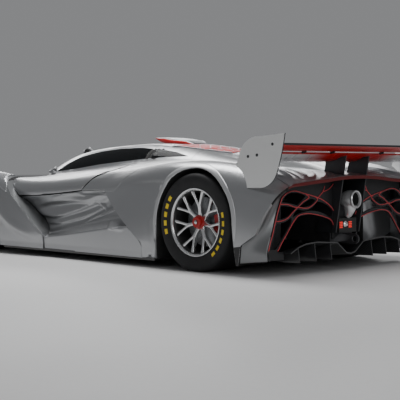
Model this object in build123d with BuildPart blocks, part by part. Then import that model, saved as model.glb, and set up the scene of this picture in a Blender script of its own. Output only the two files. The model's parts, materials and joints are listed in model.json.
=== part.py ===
"""Closed sports prototype race car, full size, in millimetres.

+X points to the nose, +Y to the car's left, +Z up. The origin lies on the floor under the middle of the
car's length and width.
"""

import math
import os
from collections import namedtuple

from build123d import *

os.makedirs("parts", exist_ok=True)

# Driving dimensions of the whole car
WHEELBASE = 2800.0
FRONT_OVERHANG = 931.5
REAR_OVERHANG = 831.5
HALF_WIDTH = 978.0
HEIGHT = 977.0
NOSE_X = (FRONT_OVERHANG + WHEELBASE + REAR_OVERHANG) / 2
TAIL_X = -NOSE_X
FRONT_AXLE_X = NOSE_X - FRONT_OVERHANG
REAR_AXLE_X = TAIL_X + REAR_OVERHANG
MID_X = (FRONT_AXLE_X + REAR_AXLE_X) / 2

# Clearances and thicknesses
PANEL_GAP = 3.0
DOOR_GAP = 6.0
GLASS_GAP = 0.3
SKIN = 24.0
GLASS = 6.0
PLATE = 12.0

# Floor and tub
FLOOR_BOTTOM_Z = 50.0
FLOOR_THICKNESS = 22.0
FLOOR_TOP_Z = FLOOR_BOTTOM_Z + FLOOR_THICKNESS
FLOOR_HALF_WIDTH = 925.0
TUB_HALF_WIDTH = 590.0
TUB_WALL = 90.0
TUB_FLOOR = 30.0
TUB_FRONT_X = FRONT_AXLE_X + 180.0
TUB_REAR_X = MID_X - 640.0
TUB_NOSE_HALF_WIDTH = 330.0
BAY_HALF_WIDTH = 500.0

# Wheels: outer face from the centre plane, then tyre and rim sizes
WHEEL_TABLE = namedtuple("Wheel", "name axle_x outer_y tyre_radius tyre_width steered")
RIM_LIP_RADIUS = 246.0
RIM_SEAT_RADIUS = 228.0
RIM_WALL = 9.0
HUB_RADIUS = 52.0
DISC_RADIUS = 178.0
DISC_TRACK_RADIUS = 112.0
DISC_THICKNESS = 32.0
SPOKES = 7
HUB_DISH = 30.0
TYRE_SHOULDER = 26.0
UPRIGHT_DEPTH = 60.0
BALL_HEIGHT = 120.0
BALL_RADIUS = 22.0
BALL_CAP = 18.0
ARM_RADIUS = 12.0
CALIPER_INNER = 120.0
CALIPER_OUTER = 205.0
CALIPER_SPAN = 24.0
CALIPER_WALL = 22.0
STRAKE_BOTTOM_Z = 86.0
WHEELS = [
    WHEEL_TABLE("front", FRONT_AXLE_X, 945.0, 325.0, 320.0, True),
    WHEEL_TABLE("rear", REAR_AXLE_X, 957.0, 355.0, 370.0, False),
]
RUNNING_GAP = 0.3
SPINDLE_RADIUS = 30.0
RIM_INSET = 16.0
RIM_LIP_WIDTH = 8.0
SPOKE_DEPTH = 26.0
SPOKE_SET_BACK = 38.0
DISC_SET_BACK = 140.0
BRAKE_GAP = 5.0
ARCH_CLEARANCE = 16.0
STEER_SHIFT = 45.0
REAR_ARCH_CLEARANCE = 32.0
WELL_INNER_Y = 525.0
KINGPIN_INSET = 30.0


def section_plane(x):
    """Upright plane across the car, with its first axis to the left and its second up."""
    return Plane(origin=(x, 0, 0), x_dir=(0, 1, 0), z_dir=(1, 0, 0))


def arc_or_line(start, middle, end):
    """Arc through three points, or a line where they lie straight."""
    twist = (middle[0] - start[0]) * (end[1] - start[1]) - (middle[1] - start[1]) * (end[0] - start[0])
    if abs(twist) < 40.0:
        return Line(start, end)
    return ThreePointArc(start, middle, end)


def box_between(low, high):
    """Box between two opposite corners."""
    size = [abs(b - a) for a, b in zip(low, high)]
    centre = [(a + b) / 2 for a, b in zip(low, high)]
    with BuildPart() as box:
        with Locations(tuple(centre)):
            Box(*size)
    return box.part


def side_prism(outline, y_from, y_to):
    """Solid whose side view is the outline of (x, z) points, between two distances left of the centre."""
    with BuildPart() as prism:
        with BuildSketch(Plane.XZ.offset(-y_from)):
            with BuildLine():
                Polyline(*outline, close=True)
            make_face()
        extrude(amount=-(y_to - y_from))
    return prism.part


def plan_prism(outline, z_from, z_to):
    """Solid whose plan view is the outline of (x, y) points, between two heights."""
    with BuildPart() as prism:
        with BuildSketch(Plane.XY.offset(z_from)):
            with BuildLine():
                Polyline(*outline, close=True)
            make_face()
        extrude(amount=z_to - z_from)
    return prism.part


def mirrored(shape):
    """The same shape on the car's right side."""
    with BuildPart() as other:
        add(shape)
        mirror(about=Plane.XZ, mode=Mode.REPLACE)
    return other.part


def both_sides(shape):
    """The shape and its mirror image in one part."""
    with BuildPart() as pair:
        add(shape)
        mirror(about=Plane.XZ)
    return pair.part


# Body sections, left half. Each row is a station along the car, and each pair is (distance left, height):
# the sill's top edge, the waist, the belt crease, the shoulder, the crown, the slope inside it, the deck's
# edge, and the height on the centre plane.
Body = namedtuple("Body", "x sill waist belt shoulder crown slope deck centre_z")
NOSE_ROWS = [
    Body(FRONT_AXLE_X + 915, (300, 96), (305, 118), (300, 140), (280, 158), (240, 170), (190, 178), (120, 184), 186),
    Body(FRONT_AXLE_X + 790, (690, 100), (702, 150), (700, 205), (670, 262), (600, 296), (480, 290), (330, 268), 262),
    Body(FRONT_AXLE_X + 600, (860, 110), (880, 210), (880, 320), (850, 425), (770, 482), (620, 435), (420, 356), 345),
    Body(FRONT_AXLE_X + 330, (930, 120), (946, 270), (948, 430), (920, 580), (810, 646), (630, 570), (440, 474), 482),
    Body(FRONT_AXLE_X, (945, 130), (960, 320), (960, 500), (932, 676), (812, 716), (645, 645), (480, 552), 566),
    Body(FRONT_AXLE_X - 330, (945, 130), (958, 320), (955, 500), (918, 630), (800, 690), (660, 660), (505, 612), 605),
    Body(FRONT_AXLE_X - 700, (938, 130), (948, 300), (925, 470), (890, 580), (770, 640), (650, 668), (540, 686), 690),
    Body(FRONT_AXLE_X - 1050, (930, 130), (925, 280), (890, 440), (860, 560), (755, 640), (645, 690), (540, 715), 720),
]
SIDE_ROWS = [
    Body(FRONT_AXLE_X - 330, (930, 120), (800, 320), (850, 480), (850, 590), (790, 655), (655, 655), (505, 640), 600),
    Body(FRONT_AXLE_X - 700, (925, 140), (775, 330), (850, 500), (845, 585), (760, 640), (650, 668), (540, 686), 690),
    Body(MID_X, (930, 215), (785, 400), (845, 562), (830, 635), (752, 686), (642, 728), (540, 756), 760),
    Body(REAR_AXLE_X + 700, (945, 300), (800, 470), (885, 615), (868, 702), (762, 762), (612, 795), (480, 810), 815),
    Body(REAR_AXLE_X + 380, (955, 300), (820, 470), (925, 625), (900, 725), (775, 784), (610, 798), (455, 800), 802),
]
REAR_ROWS = [
    Body(MID_X + 150, (930, 200), (905, 400), (862, 555), (838, 620), (756, 675), (645, 716), (545, 744), 748),
    Body(REAR_AXLE_X + 700, (958, 200), (935, 420), (893, 615), (870, 702), (762, 762), (612, 795), (480, 810), 815),
    Body(REAR_AXLE_X, (968, 200), (974, 420), (971, 610), (938, 738), (785, 800), (605, 790), (420, 775), 770),
    Body(REAR_AXLE_X - 450, (962, 190), (968, 380), (955, 540), (902, 680), (750, 748), (590, 735), (400, 722), 724),
    Body(REAR_AXLE_X - 760, (900, 190), (905, 340), (885, 480), (835, 590), (715, 640), (560, 655), (380, 668), 690),
]
# Which way each point of a section moves when the skin is taken inwards: (share of y, share of z)
INWARD = {
    "sill": (1.0, 0.0),
    "waist": (1.0, 0.0),
    "belt": (1.0, -0.1),
    "shoulder": (0.9, -0.6),
    "crown": (0.4, -1.0),
    "slope": (0.1, -1.0),
    "deck": (0.0, -1.0),
}


def body_half(row, inset):
    """The points of one half section, moved inwards by the inset, from the floor to the deck's edge."""
    points = {}
    for name, (share_y, share_z) in INWARD.items():
        y, z = getattr(row, name)
        points[name] = (y - inset * share_y, z + inset * share_z)
    return points


def body_loft(rows, inset=0.0):
    """Solid body between its stations, both sides, flat on the floor."""
    with BuildPart() as body:
        for row in rows:
            left = body_half(row, inset)
            right = {name: (-y, z) for name, (y, z) in left.items()}
            foot_y = left["sill"][0] - 10
            with BuildSketch(section_plane(row.x)):
                with BuildLine():
                    Line((-foot_y, FLOOR_TOP_Z), (foot_y, FLOOR_TOP_Z))
                    Line((foot_y, FLOOR_TOP_Z), left["sill"])
                    arc_or_line(left["sill"], left["waist"], left["belt"])
                    arc_or_line(left["belt"], left["shoulder"], left["crown"])
                    arc_or_line(left["crown"], left["slope"], left["deck"])
                    arc_or_line(left["deck"], (0, row.centre_z - inset), right["deck"])
                    arc_or_line(right["deck"], right["slope"], right["crown"])
                    arc_or_line(right["crown"], right["shoulder"], right["belt"])
                    arc_or_line(right["belt"], right["waist"], right["sill"])
                    Line(right["sill"], (-foot_y, FLOOR_TOP_Z))
                make_face()
        loft()
    return body.part


# Canopy sections: half width at its foot, a point on its side, the roof rail, and the roof's height
Canopy = namedtuple("Canopy", "x foot_y side rail roof_z")
CANOPY_FOOT_Z = 500.0
CANOPY_ROWS = [
    Canopy(FRONT_AXLE_X - 60, 150, (135, 545), (100, 562), 572),
    Canopy(FRONT_AXLE_X - 230, 390, (362, 590), (270, 635), 655),
    Canopy(FRONT_AXLE_X - 480, 520, (486, 650), (360, 742), 772),
    Canopy(FRONT_AXLE_X - 850, 570, (535, 710), (385, 860), 888),
    Canopy(MID_X + 100, 585, (540, 750), (375, 918), 938),
    Canopy(MID_X - 330, 565, (512, 775), (350, 932), 950),
    Canopy(REAR_AXLE_X + 640, 500, (442, 790), (298, 892), 912),
    Canopy(REAR_AXLE_X + 200, 400, (345, 770), (215, 820), 848),
    Canopy(REAR_AXLE_X - 250, 260, (225, 720), (145, 762), 786),
    Canopy(REAR_AXLE_X - 640, 150, (125, 665), (80, 688), 699),
]


def canopy_loft(inset=0.0):
    """Solid teardrop canopy, taken inwards by the inset."""
    with BuildPart() as canopy:
        for row in CANOPY_ROWS:
            foot = (row.foot_y - inset, CANOPY_FOOT_Z)
            side = (row.side[0] - inset, row.side[1] - 0.2 * inset)
            rail = (row.rail[0] - 0.6 * inset, row.rail[1] - 0.8 * inset)
            with BuildSketch(section_plane(row.x)):
                with BuildLine():
                    Line((-foot[0], foot[1]), foot)
                    ThreePointArc(foot, side, rail)
                    ThreePointArc(rail, (0, row.roof_z - inset), (-rail[0], rail[1]))
                    ThreePointArc((-rail[0], rail[1]), (-side[0], side[1]), (-foot[0], foot[1]))
                make_face()
        loft()
    return canopy.part


def region(solid, keep=None, cut=()):
    """The solid's share inside the keep shape, less the cut shapes."""
    with BuildPart() as piece:
        add(solid)
        if keep is not None:
            add(keep, mode=Mode.INTERSECT)
        for shape in cut:
            add(shape, mode=Mode.SUBTRACT)
    return piece.part


def joined(*solids):
    """The solids as one piece."""
    with BuildPart() as whole:
        for solid in solids:
            add(solid)
    return whole.part


def finish(solid, name):
    """Names the piece and writes it."""
    solid.label = name
    export_step(solid, f"parts/{name}.step")
    return solid


nose_body = body_loft(NOSE_ROWS)
side_body = body_loft(SIDE_ROWS)
rear_body = body_loft(REAR_ROWS)
rear_body_inner = body_loft(REAR_ROWS, SKIN)
canopy_outer = canopy_loft()
canopy_inner = canopy_loft(SKIN)
canopy_glass_inner = canopy_loft(GLASS)
canopy_space = canopy_loft(-PANEL_GAP)

# Seams in the side view, as (x, z) points from the top down
NOSE_SEAM = [(980.0, 680.0), (770.0, 490.0), (350.0, 190.0), (350.0, FLOOR_TOP_Z - PANEL_GAP)]
REAR_SEAM = [
    (-450.0, 775.0), (-200.0, 684.0), (-50.0, 560.0), (-350.0, 567.0), (-820.0, 231.0), (-897.0, 180.0),
    (-897.0, FLOOR_TOP_Z - PANEL_GAP),
]
DOOR_FRONT_X = 775.0
DOOR_SILL = [(DOOR_FRONT_X, 495.0), (320.0, 525.0), (-50.0, 560.0)]
TAIL_EDGE = [
    (TAIL_X + 67.5, 1000.0), (TAIL_X + 67.5, 632.0), (TAIL_X + 174.5, 454.0), (TAIL_X + 247.5, 292.0),
    (TAIL_X + 368.5, 214.0), (TAIL_X + 400.0, FLOOR_TOP_Z),
]
ABOVE = 1100.0
OUTSIDE = HALF_WIDTH + 50.0


def seam_prism(seam, front_x, above, y_from=-OUTSIDE, y_to=OUTSIDE):
    """Everything between a seam's line and an upright line at front_x, up to a height above the seam."""
    first, last = seam[0], seam[-1]
    outline = [(front_x, above), (first[0], above)] + list(seam) + [(front_x, last[1])]
    return side_prism(outline, y_from, y_to)


def widened(outline, gap, y_from, y_to):
    """Prism of a side view outline, let out all round by the gap, or taken in where it is negative."""
    with BuildPart() as prism:
        with BuildSketch(Plane.XZ.offset(-y_from)):
            with BuildLine():
                Polyline(*outline, close=True)
            make_face()
            offset(amount=gap, kind=Kind.INTERSECTION)
        extrude(amount=-(y_to - y_from))
    return prism.part


def well(axle_x, radius, clearance, shift, rear_flare):
    """Wheel well on the left: the tyre's circle let out by its clearance and drawn out along the car."""
    well_radius = radius + clearance
    with BuildPart() as space:
        with BuildSketch(Plane.XZ.offset(-WELL_INNER_Y)):
            for side in (-1, 1):
                with Locations((axle_x + side * shift, radius)):
                    Circle(well_radius)
            if shift:
                with Locations((axle_x, radius)):
                    Rectangle(2 * shift, 2 * well_radius)
            with BuildLine():
                Polyline(
                    (axle_x, radius), (axle_x - shift - well_radius, radius),
                    (axle_x - shift - well_radius - rear_flare, 0), (axle_x + shift + well_radius, 0),
                    (axle_x + shift + well_radius, radius), close=True,
                )
            make_face()
        extrude(amount=-(OUTSIDE - WELL_INNER_Y))
    return space.part


# Door, hinged on a slanting line beside the windscreen pillar
HINGE_LOW = (850.0, 503.0, 692.0)
HINGE_HIGH = (450.0, 312.0, 923.0)
ROOF_SEAM_Y = 312.0
DOOR_REAR_X = -450.0
DOOR_FOOT_Z = CANOPY_FOOT_Z + DOOR_GAP
FAR = 3000.0


def unit(vector):
    """The vector at length one."""
    return Vector(*vector).normalized()


hinge_axis = Vector(*HINGE_LOW) - Vector(*HINGE_HIGH)
hinge_axis = hinge_axis.normalized()
# The door's front cut holds the hinge line and faces back and outwards
outward = unit((0.05, 0.60, 0.80))
door_side = hinge_axis.cross(outward).normalized()
door_side = door_side if door_side.Y > 0 else door_side * -1


def hinge_side_block(gap):
    """Large block on the door's side of its front cut, held off by the gap."""
    start = Vector(*HINGE_HIGH) + door_side * gap
    with BuildPart() as block:
        with BuildSketch(Plane(origin=tuple(start), x_dir=tuple(hinge_axis), z_dir=tuple(door_side))):
            Rectangle(2 * FAR, 2 * FAR)
        extrude(amount=FAR)
    return block.part


DOOR_OUTLINE = [
    (DOOR_REAR_X, ABOVE), (DOOR_REAR_X, 775.0), (-200.0, 684.0), (-50.0, 560.0), DOOR_SILL[1], DOOR_SILL[0],
    (980.0, 680.0), (980.0, ABOVE),
]


def door_region(gap):
    """The left door's share of the car, let out by the gap."""
    return region(widened(DOOR_OUTLINE, gap, ROOF_SEAM_Y - gap, OUTSIDE), keep=hinge_side_block(-gap))

# Door hinges: at two places on the hinge line, a barrel on the door turns on a pin between two ears
HINGE_PLACES = [0.12, 0.88]
HINGE_PIN_RADIUS = 6.0
HINGE_RADIUS = 12.0
HINGE_BARREL = 34.0
HINGE_EAR = 14.0
HINGE_REACH = 34.0
HINGE_DEPTH = 46.0
hinge_line = Vector(*HINGE_HIGH) - Vector(*HINGE_LOW)


def hinge_cylinder(share, along, length, radius):
    """Cylinder on the hinge line, starting at a distance along the axis from a hinge's middle."""
    origin = Vector(*HINGE_LOW) + hinge_line * share + hinge_axis * along
    with BuildPart() as cylinder:
        with BuildSketch(Plane(origin=tuple(origin), x_dir=tuple(door_side), z_dir=tuple(hinge_axis))):
            Circle(radius)
        extrude(amount=length)
    return cylinder.part


def hinge_leaf(share, along, length, near, far):
    """Round knuckle with a tongue that dips into the skin, between two distances from the hinge line."""
    origin = Vector(*HINGE_LOW) + hinge_line * share + hinge_axis * along
    with BuildPart() as leaf:
        with BuildSketch(Plane(origin=tuple(origin), x_dir=tuple(door_side), z_dir=tuple(hinge_axis))):
            Circle(HINGE_RADIUS)
            with Locations(((near + far) / 2, -HINGE_DEPTH / 2)):
                Rectangle(abs(far - near), HINGE_DEPTH)
        extrude(amount=length)
    return leaf.part


def hinge_fittings():
    """Leaves and pins for the frame, leaves for the door, and the room that each needs in the other."""
    frame_side, door_leaves, frame_room, door_room, bores = [], [], [], [], []
    half = HINGE_BARREL / 2
    for share in HINGE_PLACES:
        leaf = hinge_leaf(share, -half, HINGE_BARREL, 0.0, HINGE_REACH)
        door_leaves.append(region(leaf, keep=roof_side))
        whole = HINGE_BARREL + 2 * HINGE_EAR
        room = HINGE_RADIUS + BRAKE_GAP
        bores.append(hinge_cylinder(share, -half - HINGE_EAR, whole, HINGE_PIN_RADIUS + RUNNING_GAP))
        frame_room.append(hinge_cylinder(share, -half - BRAKE_GAP, HINGE_BARREL + 2 * BRAKE_GAP, room))
        frame_side.append(hinge_cylinder(share, -half - HINGE_EAR, whole, HINGE_PIN_RADIUS))
        for start in (-half - RUNNING_GAP - HINGE_EAR, half + RUNNING_GAP):
            frame_side.append(hinge_leaf(share, start, HINGE_EAR, -HINGE_REACH, -DOOR_GAP))
            door_room.append(hinge_cylinder(share, start - BRAKE_GAP, HINGE_EAR + 2 * BRAKE_GAP, room))
    return frame_side, door_leaves, frame_room, door_room, bores


roof_side = box_between((-FAR, ROOF_SEAM_Y, 0), (FAR, OUTSIDE, ABOVE))
frame_leaves, door_leaves, frame_room, door_room, hinge_bores = hinge_fittings()


# Glass outlines: the side window as (x, z), the windscreen as (x, y)
SIDE_GLASS = [
    (735.0, 705.0), (400.0, 733.0), (70.0, 772.0), (-250.0, 800.0), (-450.0, 818.0), (-640.0, 828.0),
    (-840.0, 834.0), (-700.0, 868.0), (-560.0, 888.0), (-300.0, 908.0), (-50.0, 902.0), (200.0, 880.0),
    (430.0, 838.0), (600.0, 776.0),
]
GLASS_SPLIT = 30.0
WINDSCREEN = [
    (1200.0, 0.0), (1170.0, 150.0), (1080.0, 290.0), (960.0, 372.0), (800.0, 390.0), (640.0, 335.0),
    (490.0, 262.0), (465.0, 150.0), (455.0, 0.0),
]


def half_outline(points):
    """Closed plan outline from its left half."""
    return points + [(x, -y) for x, y in reversed(points) if y > 0]


glass_shell = region(canopy_outer, cut=[canopy_glass_inner])
door_glass_cut = region(
    side_prism(SIDE_GLASS, 200.0, 700.0), cut=[box_between((-2000, 0, 0), (DOOR_REAR_X + GLASS_SPLIT, 900, ABOVE))]
)
quarter_glass_cut = region(
    side_prism(SIDE_GLASS, 200.0, 700.0), cut=[box_between((DOOR_REAR_X - GLASS_SPLIT, 0, 0), (2000, 900, ABOVE))]
)
windscreen_cut = plan_prism(half_outline(WINDSCREEN), 560.0, ABOVE)


def glass_piece(outline, y_from, y_to, x_from, x_to):
    """Glass let into its window with a hairline all round."""
    return region(
        widened(outline, -GLASS_GAP, y_from, y_to),
        keep=box_between((x_from + GLASS_GAP, -OUTSIDE, 0), (x_to - GLASS_GAP, OUTSIDE, ABOVE)),
    )


door_glass_space = glass_piece(SIDE_GLASS, 200.0, 700.0, DOOR_REAR_X + GLASS_SPLIT, 2000.0)
quarter_glass_space = glass_piece(SIDE_GLASS, 200.0, 700.0, -2000.0, DOOR_REAR_X - GLASS_SPLIT)
door_glass_left = region(glass_shell, keep=door_glass_space)
quarter_windows = both_sides(region(glass_shell, keep=quarter_glass_space))
with BuildPart() as windscreen_space:
    with BuildSketch(Plane.XY.offset(560.0)):
        with BuildLine():
            Polyline(*half_outline(WINDSCREEN), close=True)
        make_face()
        offset(amount=-GLASS_GAP, kind=Kind.INTERSECTION)
    extrude(amount=ABOVE - 560.0)
windscreen = region(glass_shell, keep=windscreen_space.part)

# Wheels
RIM_TAPER = 30.0
HUB_COVER = 22.0
SPOKE_FORK_RADIUS = 112.0
SPOKE_HALF_WIDTH = 11.0
BRANCH_HALF_WIDTH = 6.5
RIM_BORE = RIM_SEAT_RADIUS - RIM_WALL


def turned_outline(wheel, points):
    """Solid turned about the wheel's axle from a straight-sided outline of (y, radius) points."""
    with BuildPart() as ring:
        with BuildSketch(Plane.YZ.offset(wheel.axle_x)):
            Polygon(*[(y, wheel.tyre_radius + r) for y, r in points], align=None)
        revolve(axis=Axis((wheel.axle_x, 0, wheel.tyre_radius), (0, 1, 0)))
    return ring.part


def turned(wheel, profile):
    """Solid turned about the wheel's axle from a closed profile of (y, radius) lines and arcs."""
    with BuildPart() as ring:
        with BuildSketch(Plane.YZ.offset(wheel.axle_x)):
            with BuildLine():
                for piece in profile:
                    points = [(y, wheel.tyre_radius + r) for y, r in piece]
                    if len(points) == 2:
                        Line(*points)
                    else:
                        ThreePointArc(*points)
            make_face()
        revolve(axis=Axis((wheel.axle_x, 0, wheel.tyre_radius), (0, 1, 0)))
    return ring.part


def disc_face_y(wheel):
    """Outer face of the brake disc."""
    return wheel.outer_y - DISC_SET_BACK + DISC_THICKNESS / 2


def tyre(wheel):
    """Slick tyre: flat tread, round shoulders and full sidewalls, seated on the rim between its lips."""
    out, width, radius = wheel.outer_y, wheel.tyre_width, wheel.tyre_radius
    inner = out - width
    bead = RIM_INSET + RIM_LIP_WIDTH + RUNNING_GAP
    seat = RIM_SEAT_RADIUS + RUNNING_GAP
    flange = RIM_LIP_RADIUS + 4
    shoulder = TYRE_SHOULDER
    side_middle = (flange + radius) / 2 - 14
    half = [
        [(bead, seat), (bead, flange)],
        [(bead, flange), (0, side_middle)],
        [(0, side_middle), (0, radius - 2 * shoulder)],
        [(0, radius - 2 * shoulder), (0.42 * shoulder, radius - 0.5 * shoulder), (1.5 * shoulder, radius)],
    ]
    outer = [[(out - y, r) for y, r in piece] for piece in half]
    inward = [[(inner + y, r) for y, r in piece] for piece in half]
    profile = outer + inward
    profile.append([(out - 1.5 * shoulder, radius), (inner + 1.5 * shoulder, radius)])
    profile.append([(out - bead, seat), (inner + bead, seat)])
    return turned(wheel, profile)


def rim(wheel):
    """Rim with forked spokes, dished towards the hub, and a hub that runs on the spindle."""
    out = wheel.outer_y - RIM_INSET
    inner = wheel.outer_y - wheel.tyre_width + RIM_INSET
    face = wheel.outer_y - SPOKE_SET_BACK
    hub_face = face - HUB_DISH
    hub_end = disc_face_y(wheel)
    barrel = [
        (out, RIM_LIP_RADIUS), (out - RIM_LIP_WIDTH, RIM_LIP_RADIUS), (out - RIM_LIP_WIDTH, RIM_SEAT_RADIUS),
        (inner + RIM_LIP_WIDTH, RIM_SEAT_RADIUS), (inner + RIM_LIP_WIDTH, RIM_LIP_RADIUS), (inner, RIM_LIP_RADIUS),
        (inner, RIM_BORE), (out - RIM_TAPER, RIM_BORE), (out, RIM_LIP_RADIUS - RIM_WALL),
    ]
    dish = [
        (hub_face, 0.0), (hub_face, HUB_RADIUS), (face, RIM_BORE + 4), (face - SPOKE_DEPTH, RIM_BORE + 4),
        (hub_face - 1.4 * SPOKE_DEPTH, HUB_RADIUS), (hub_face - 1.4 * SPOKE_DEPTH, 0.0),
    ]
    hub = [
        (hub_end, HUB_RADIUS), (hub_face + HUB_COVER, HUB_RADIUS - 12),
        (hub_face + HUB_COVER, 0.0), (hub_end, 0.0),
    ]
    bore = [
        (hub_end, 0.0), (hub_end, SPINDLE_RADIUS + RUNNING_GAP), (hub_face - HUB_COVER, SPINDLE_RADIUS + RUNNING_GAP),
        (hub_face - HUB_COVER, 0.0),
    ]
    with BuildPart() as spokes:
        with BuildSketch(Plane.XZ.offset(-wheel.outer_y)):
            with Locations((wheel.axle_x, wheel.tyre_radius)):
                with PolarLocations(0, SPOKES, start_angle=90):
                    Polygon(*spoke_outline(), align=None)
        extrude(amount=wheel.tyre_width / 2)
    dished = region(spokes.part, keep=turned_outline(wheel, dish))
    whole = joined(turned_outline(wheel, barrel), dished, turned_outline(wheel, hub))
    return region(whole, cut=[turned_outline(wheel, bore)])


def spoke_outline():
    """One forked spoke along the first axis: the trunk, two branches and the notch between them."""
    tip = RIM_BORE + 3
    half_turn = math.pi / SPOKES / 2
    tip_x, tip_y = tip * math.cos(half_turn), tip * math.sin(half_turn)
    run_x, run_y = tip_x - SPOKE_FORK_RADIUS, tip_y
    length = math.hypot(run_x, run_y)
    off_x, off_y = -run_y / length * BRANCH_HALF_WIDTH, run_x / length * BRANCH_HALF_WIDTH
    notch_x = SPOKE_FORK_RADIUS + BRANCH_HALF_WIDTH * length / run_y
    upper = [
        (HUB_RADIUS * 0.8, SPOKE_HALF_WIDTH), (SPOKE_FORK_RADIUS, SPOKE_HALF_WIDTH - 2),
        (tip_x + off_x, tip_y + off_y), (tip_x - off_x, tip_y - off_y),
    ]
    return upper + [(notch_x, 0.0)] + [(x, -y) for x, y in reversed(upper)]


def brake_disc(wheel):
    """Brake disc with a thinner ring round its bore, clamped against the wheel's hub."""
    face = disc_face_y(wheel)
    back = face - DISC_THICKNESS
    bore = SPINDLE_RADIUS + RUNNING_GAP
    return turned_outline(wheel, [
        (face, bore), (face, HUB_RADIUS), (face - 8, HUB_RADIUS), (face - 8, DISC_TRACK_RADIUS),
        (face - 2, DISC_TRACK_RADIUS), (face - 2, DISC_RADIUS), (back, DISC_RADIUS), (back, DISC_TRACK_RADIUS),
        (back + 8, DISC_TRACK_RADIUS), (back + 8, bore),
    ])


def upright(wheel):
    """Upright behind the brake disc, with its spindle, the caliper over the disc's rear edge, and a steering arm."""
    back = disc_face_y(wheel) - DISC_THICKNESS
    face = back - BRAKE_GAP
    inner = face - UPRIGHT_DEPTH
    spindle_end = wheel.outer_y - SPOKE_SET_BACK - HUB_DISH - HUB_COVER - RUNNING_GAP
    radius = wheel.tyre_radius
    with BuildPart() as casting:
        with BuildSketch(Plane.XZ.offset(-inner)):
            with BuildLine():
                Polyline(
                    (wheel.axle_x - 30, radius + BALL_HEIGHT + BALL_CAP), (wheel.axle_x + 30, radius + BALL_HEIGHT + BALL_CAP),
                    (wheel.axle_x + 62, radius), (wheel.axle_x + 34, radius - BALL_HEIGHT - BALL_CAP),
                    (wheel.axle_x - 34, radius - BALL_HEIGHT - BALL_CAP), (wheel.axle_x - 62, radius), close=True,
                )
            make_face()
        extrude(amount=-UPRIGHT_DEPTH)
        with BuildSketch(Plane.XZ.offset(-face)):
            with Locations((wheel.axle_x, radius)):
                Circle(SPINDLE_RADIUS)
        extrude(amount=-(spindle_end - face))
        # Caliper: a bridge that straddles the disc behind the axle
        with BuildSketch(Plane.XZ.offset(-inner)):
            with BuildLine():
                CenterArc((wheel.axle_x, radius), CALIPER_OUTER, 180 - CALIPER_SPAN, 2 * CALIPER_SPAN)
                CenterArc((wheel.axle_x, radius), CALIPER_INNER, 180 - CALIPER_SPAN, 2 * CALIPER_SPAN)
                for sign in (-1, 1):
                    angle = math.radians(180 + sign * CALIPER_SPAN)
                    Line(
                        (wheel.axle_x + CALIPER_OUTER * math.cos(angle), radius + CALIPER_OUTER * math.sin(angle)),
                        (wheel.axle_x + CALIPER_INNER * math.cos(angle), radius + CALIPER_INNER * math.sin(angle)),
                    )
            make_face()
        extrude(amount=-(disc_face_y(wheel) + CALIPER_WALL + BRAKE_GAP - inner))
        with Locations((wheel.axle_x - (CALIPER_INNER + 40) / 2, inner + UPRIGHT_DEPTH / 2, radius)):
            Box(CALIPER_INNER + 40, UPRIGHT_DEPTH, 60)
        with BuildSketch(Plane.XZ.offset(-face)):
            with Locations((wheel.axle_x, radius)):
                Circle(DISC_RADIUS + BRAKE_GAP)
                Circle(SPINDLE_RADIUS, mode=Mode.SUBTRACT)
        extrude(amount=-(DISC_THICKNESS + 2 * BRAKE_GAP), mode=Mode.SUBTRACT)
    return casting.part


def rod(start, end, radius):
    """Round rod between two points."""
    run = Vector(*end) - Vector(*start)
    with BuildPart() as bar:
        with BuildSketch(Plane(origin=start, z_dir=tuple(run.normalized()))):
            Circle(radius)
        extrude(amount=run.length)
    return bar.part



# Tub: hollow cockpit that narrows to the footwell between the front wheels
TUB_OUTLINE = [
    (TUB_REAR_X, 0.0), (TUB_REAR_X, TUB_HALF_WIDTH), (FRONT_AXLE_X - 560, TUB_HALF_WIDTH), (FRONT_AXLE_X - 400, 500.0),
    (FRONT_AXLE_X - 250, 400.0), (TUB_FRONT_X, TUB_NOSE_HALF_WIDTH), (TUB_FRONT_X, 0.0),
]
with BuildPart() as tub_solid:
    with BuildSketch(Plane.XY.offset(FLOOR_TOP_Z)):
        with BuildLine():
            Polyline(*half_outline(TUB_OUTLINE), close=True)
        make_face()
    extrude(amount=CANOPY_FOOT_Z - FLOOR_TOP_Z)
    with BuildSketch(Plane.XY.offset(FLOOR_TOP_Z + TUB_FLOOR)):
        with BuildLine():
            Polyline(*half_outline(TUB_OUTLINE), close=True)
        make_face()
        offset(amount=-TUB_WALL, kind=Kind.INTERSECTION)
    extrude(amount=CANOPY_FOOT_Z, mode=Mode.SUBTRACT)
tub = tub_solid.part
with BuildPart() as tub_room:
    with BuildSketch(Plane.XY.offset(0)):
        with BuildLine():
            Polyline(*half_outline(TUB_OUTLINE), close=True)
        make_face()
        offset(amount=PANEL_GAP, kind=Kind.INTERSECTION)
    extrude(amount=CANOPY_FOOT_Z)
tub_space = tub_room.part

front = WHEELS[0]
rear = WHEELS[1]
front_well = well(front.axle_x, front.tyre_radius, ARCH_CLEARANCE, STEER_SHIFT, 0.0)
rear_well = well(rear.axle_x, rear.tyre_radius, REAR_ARCH_CLEARANCE, 0.0, 30.0)
front_tunnel = box_between((front.axle_x - 175, 300, 120), (front.axle_x + 175, WELL_INNER_Y + 10, 492))
door_space = door_region(DOOR_GAP)
doors_space = [door_space, mirrored(door_space)] + frame_room + [mirrored(room) for room in frame_room]
both_wells = [front_well, mirrored(front_well), rear_well, mirrored(rear_well)]
rear_tunnel = box_between((rear.axle_x - 240, 300, 120), (rear.axle_x + 240, WELL_INNER_Y + 10, 560))

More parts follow.
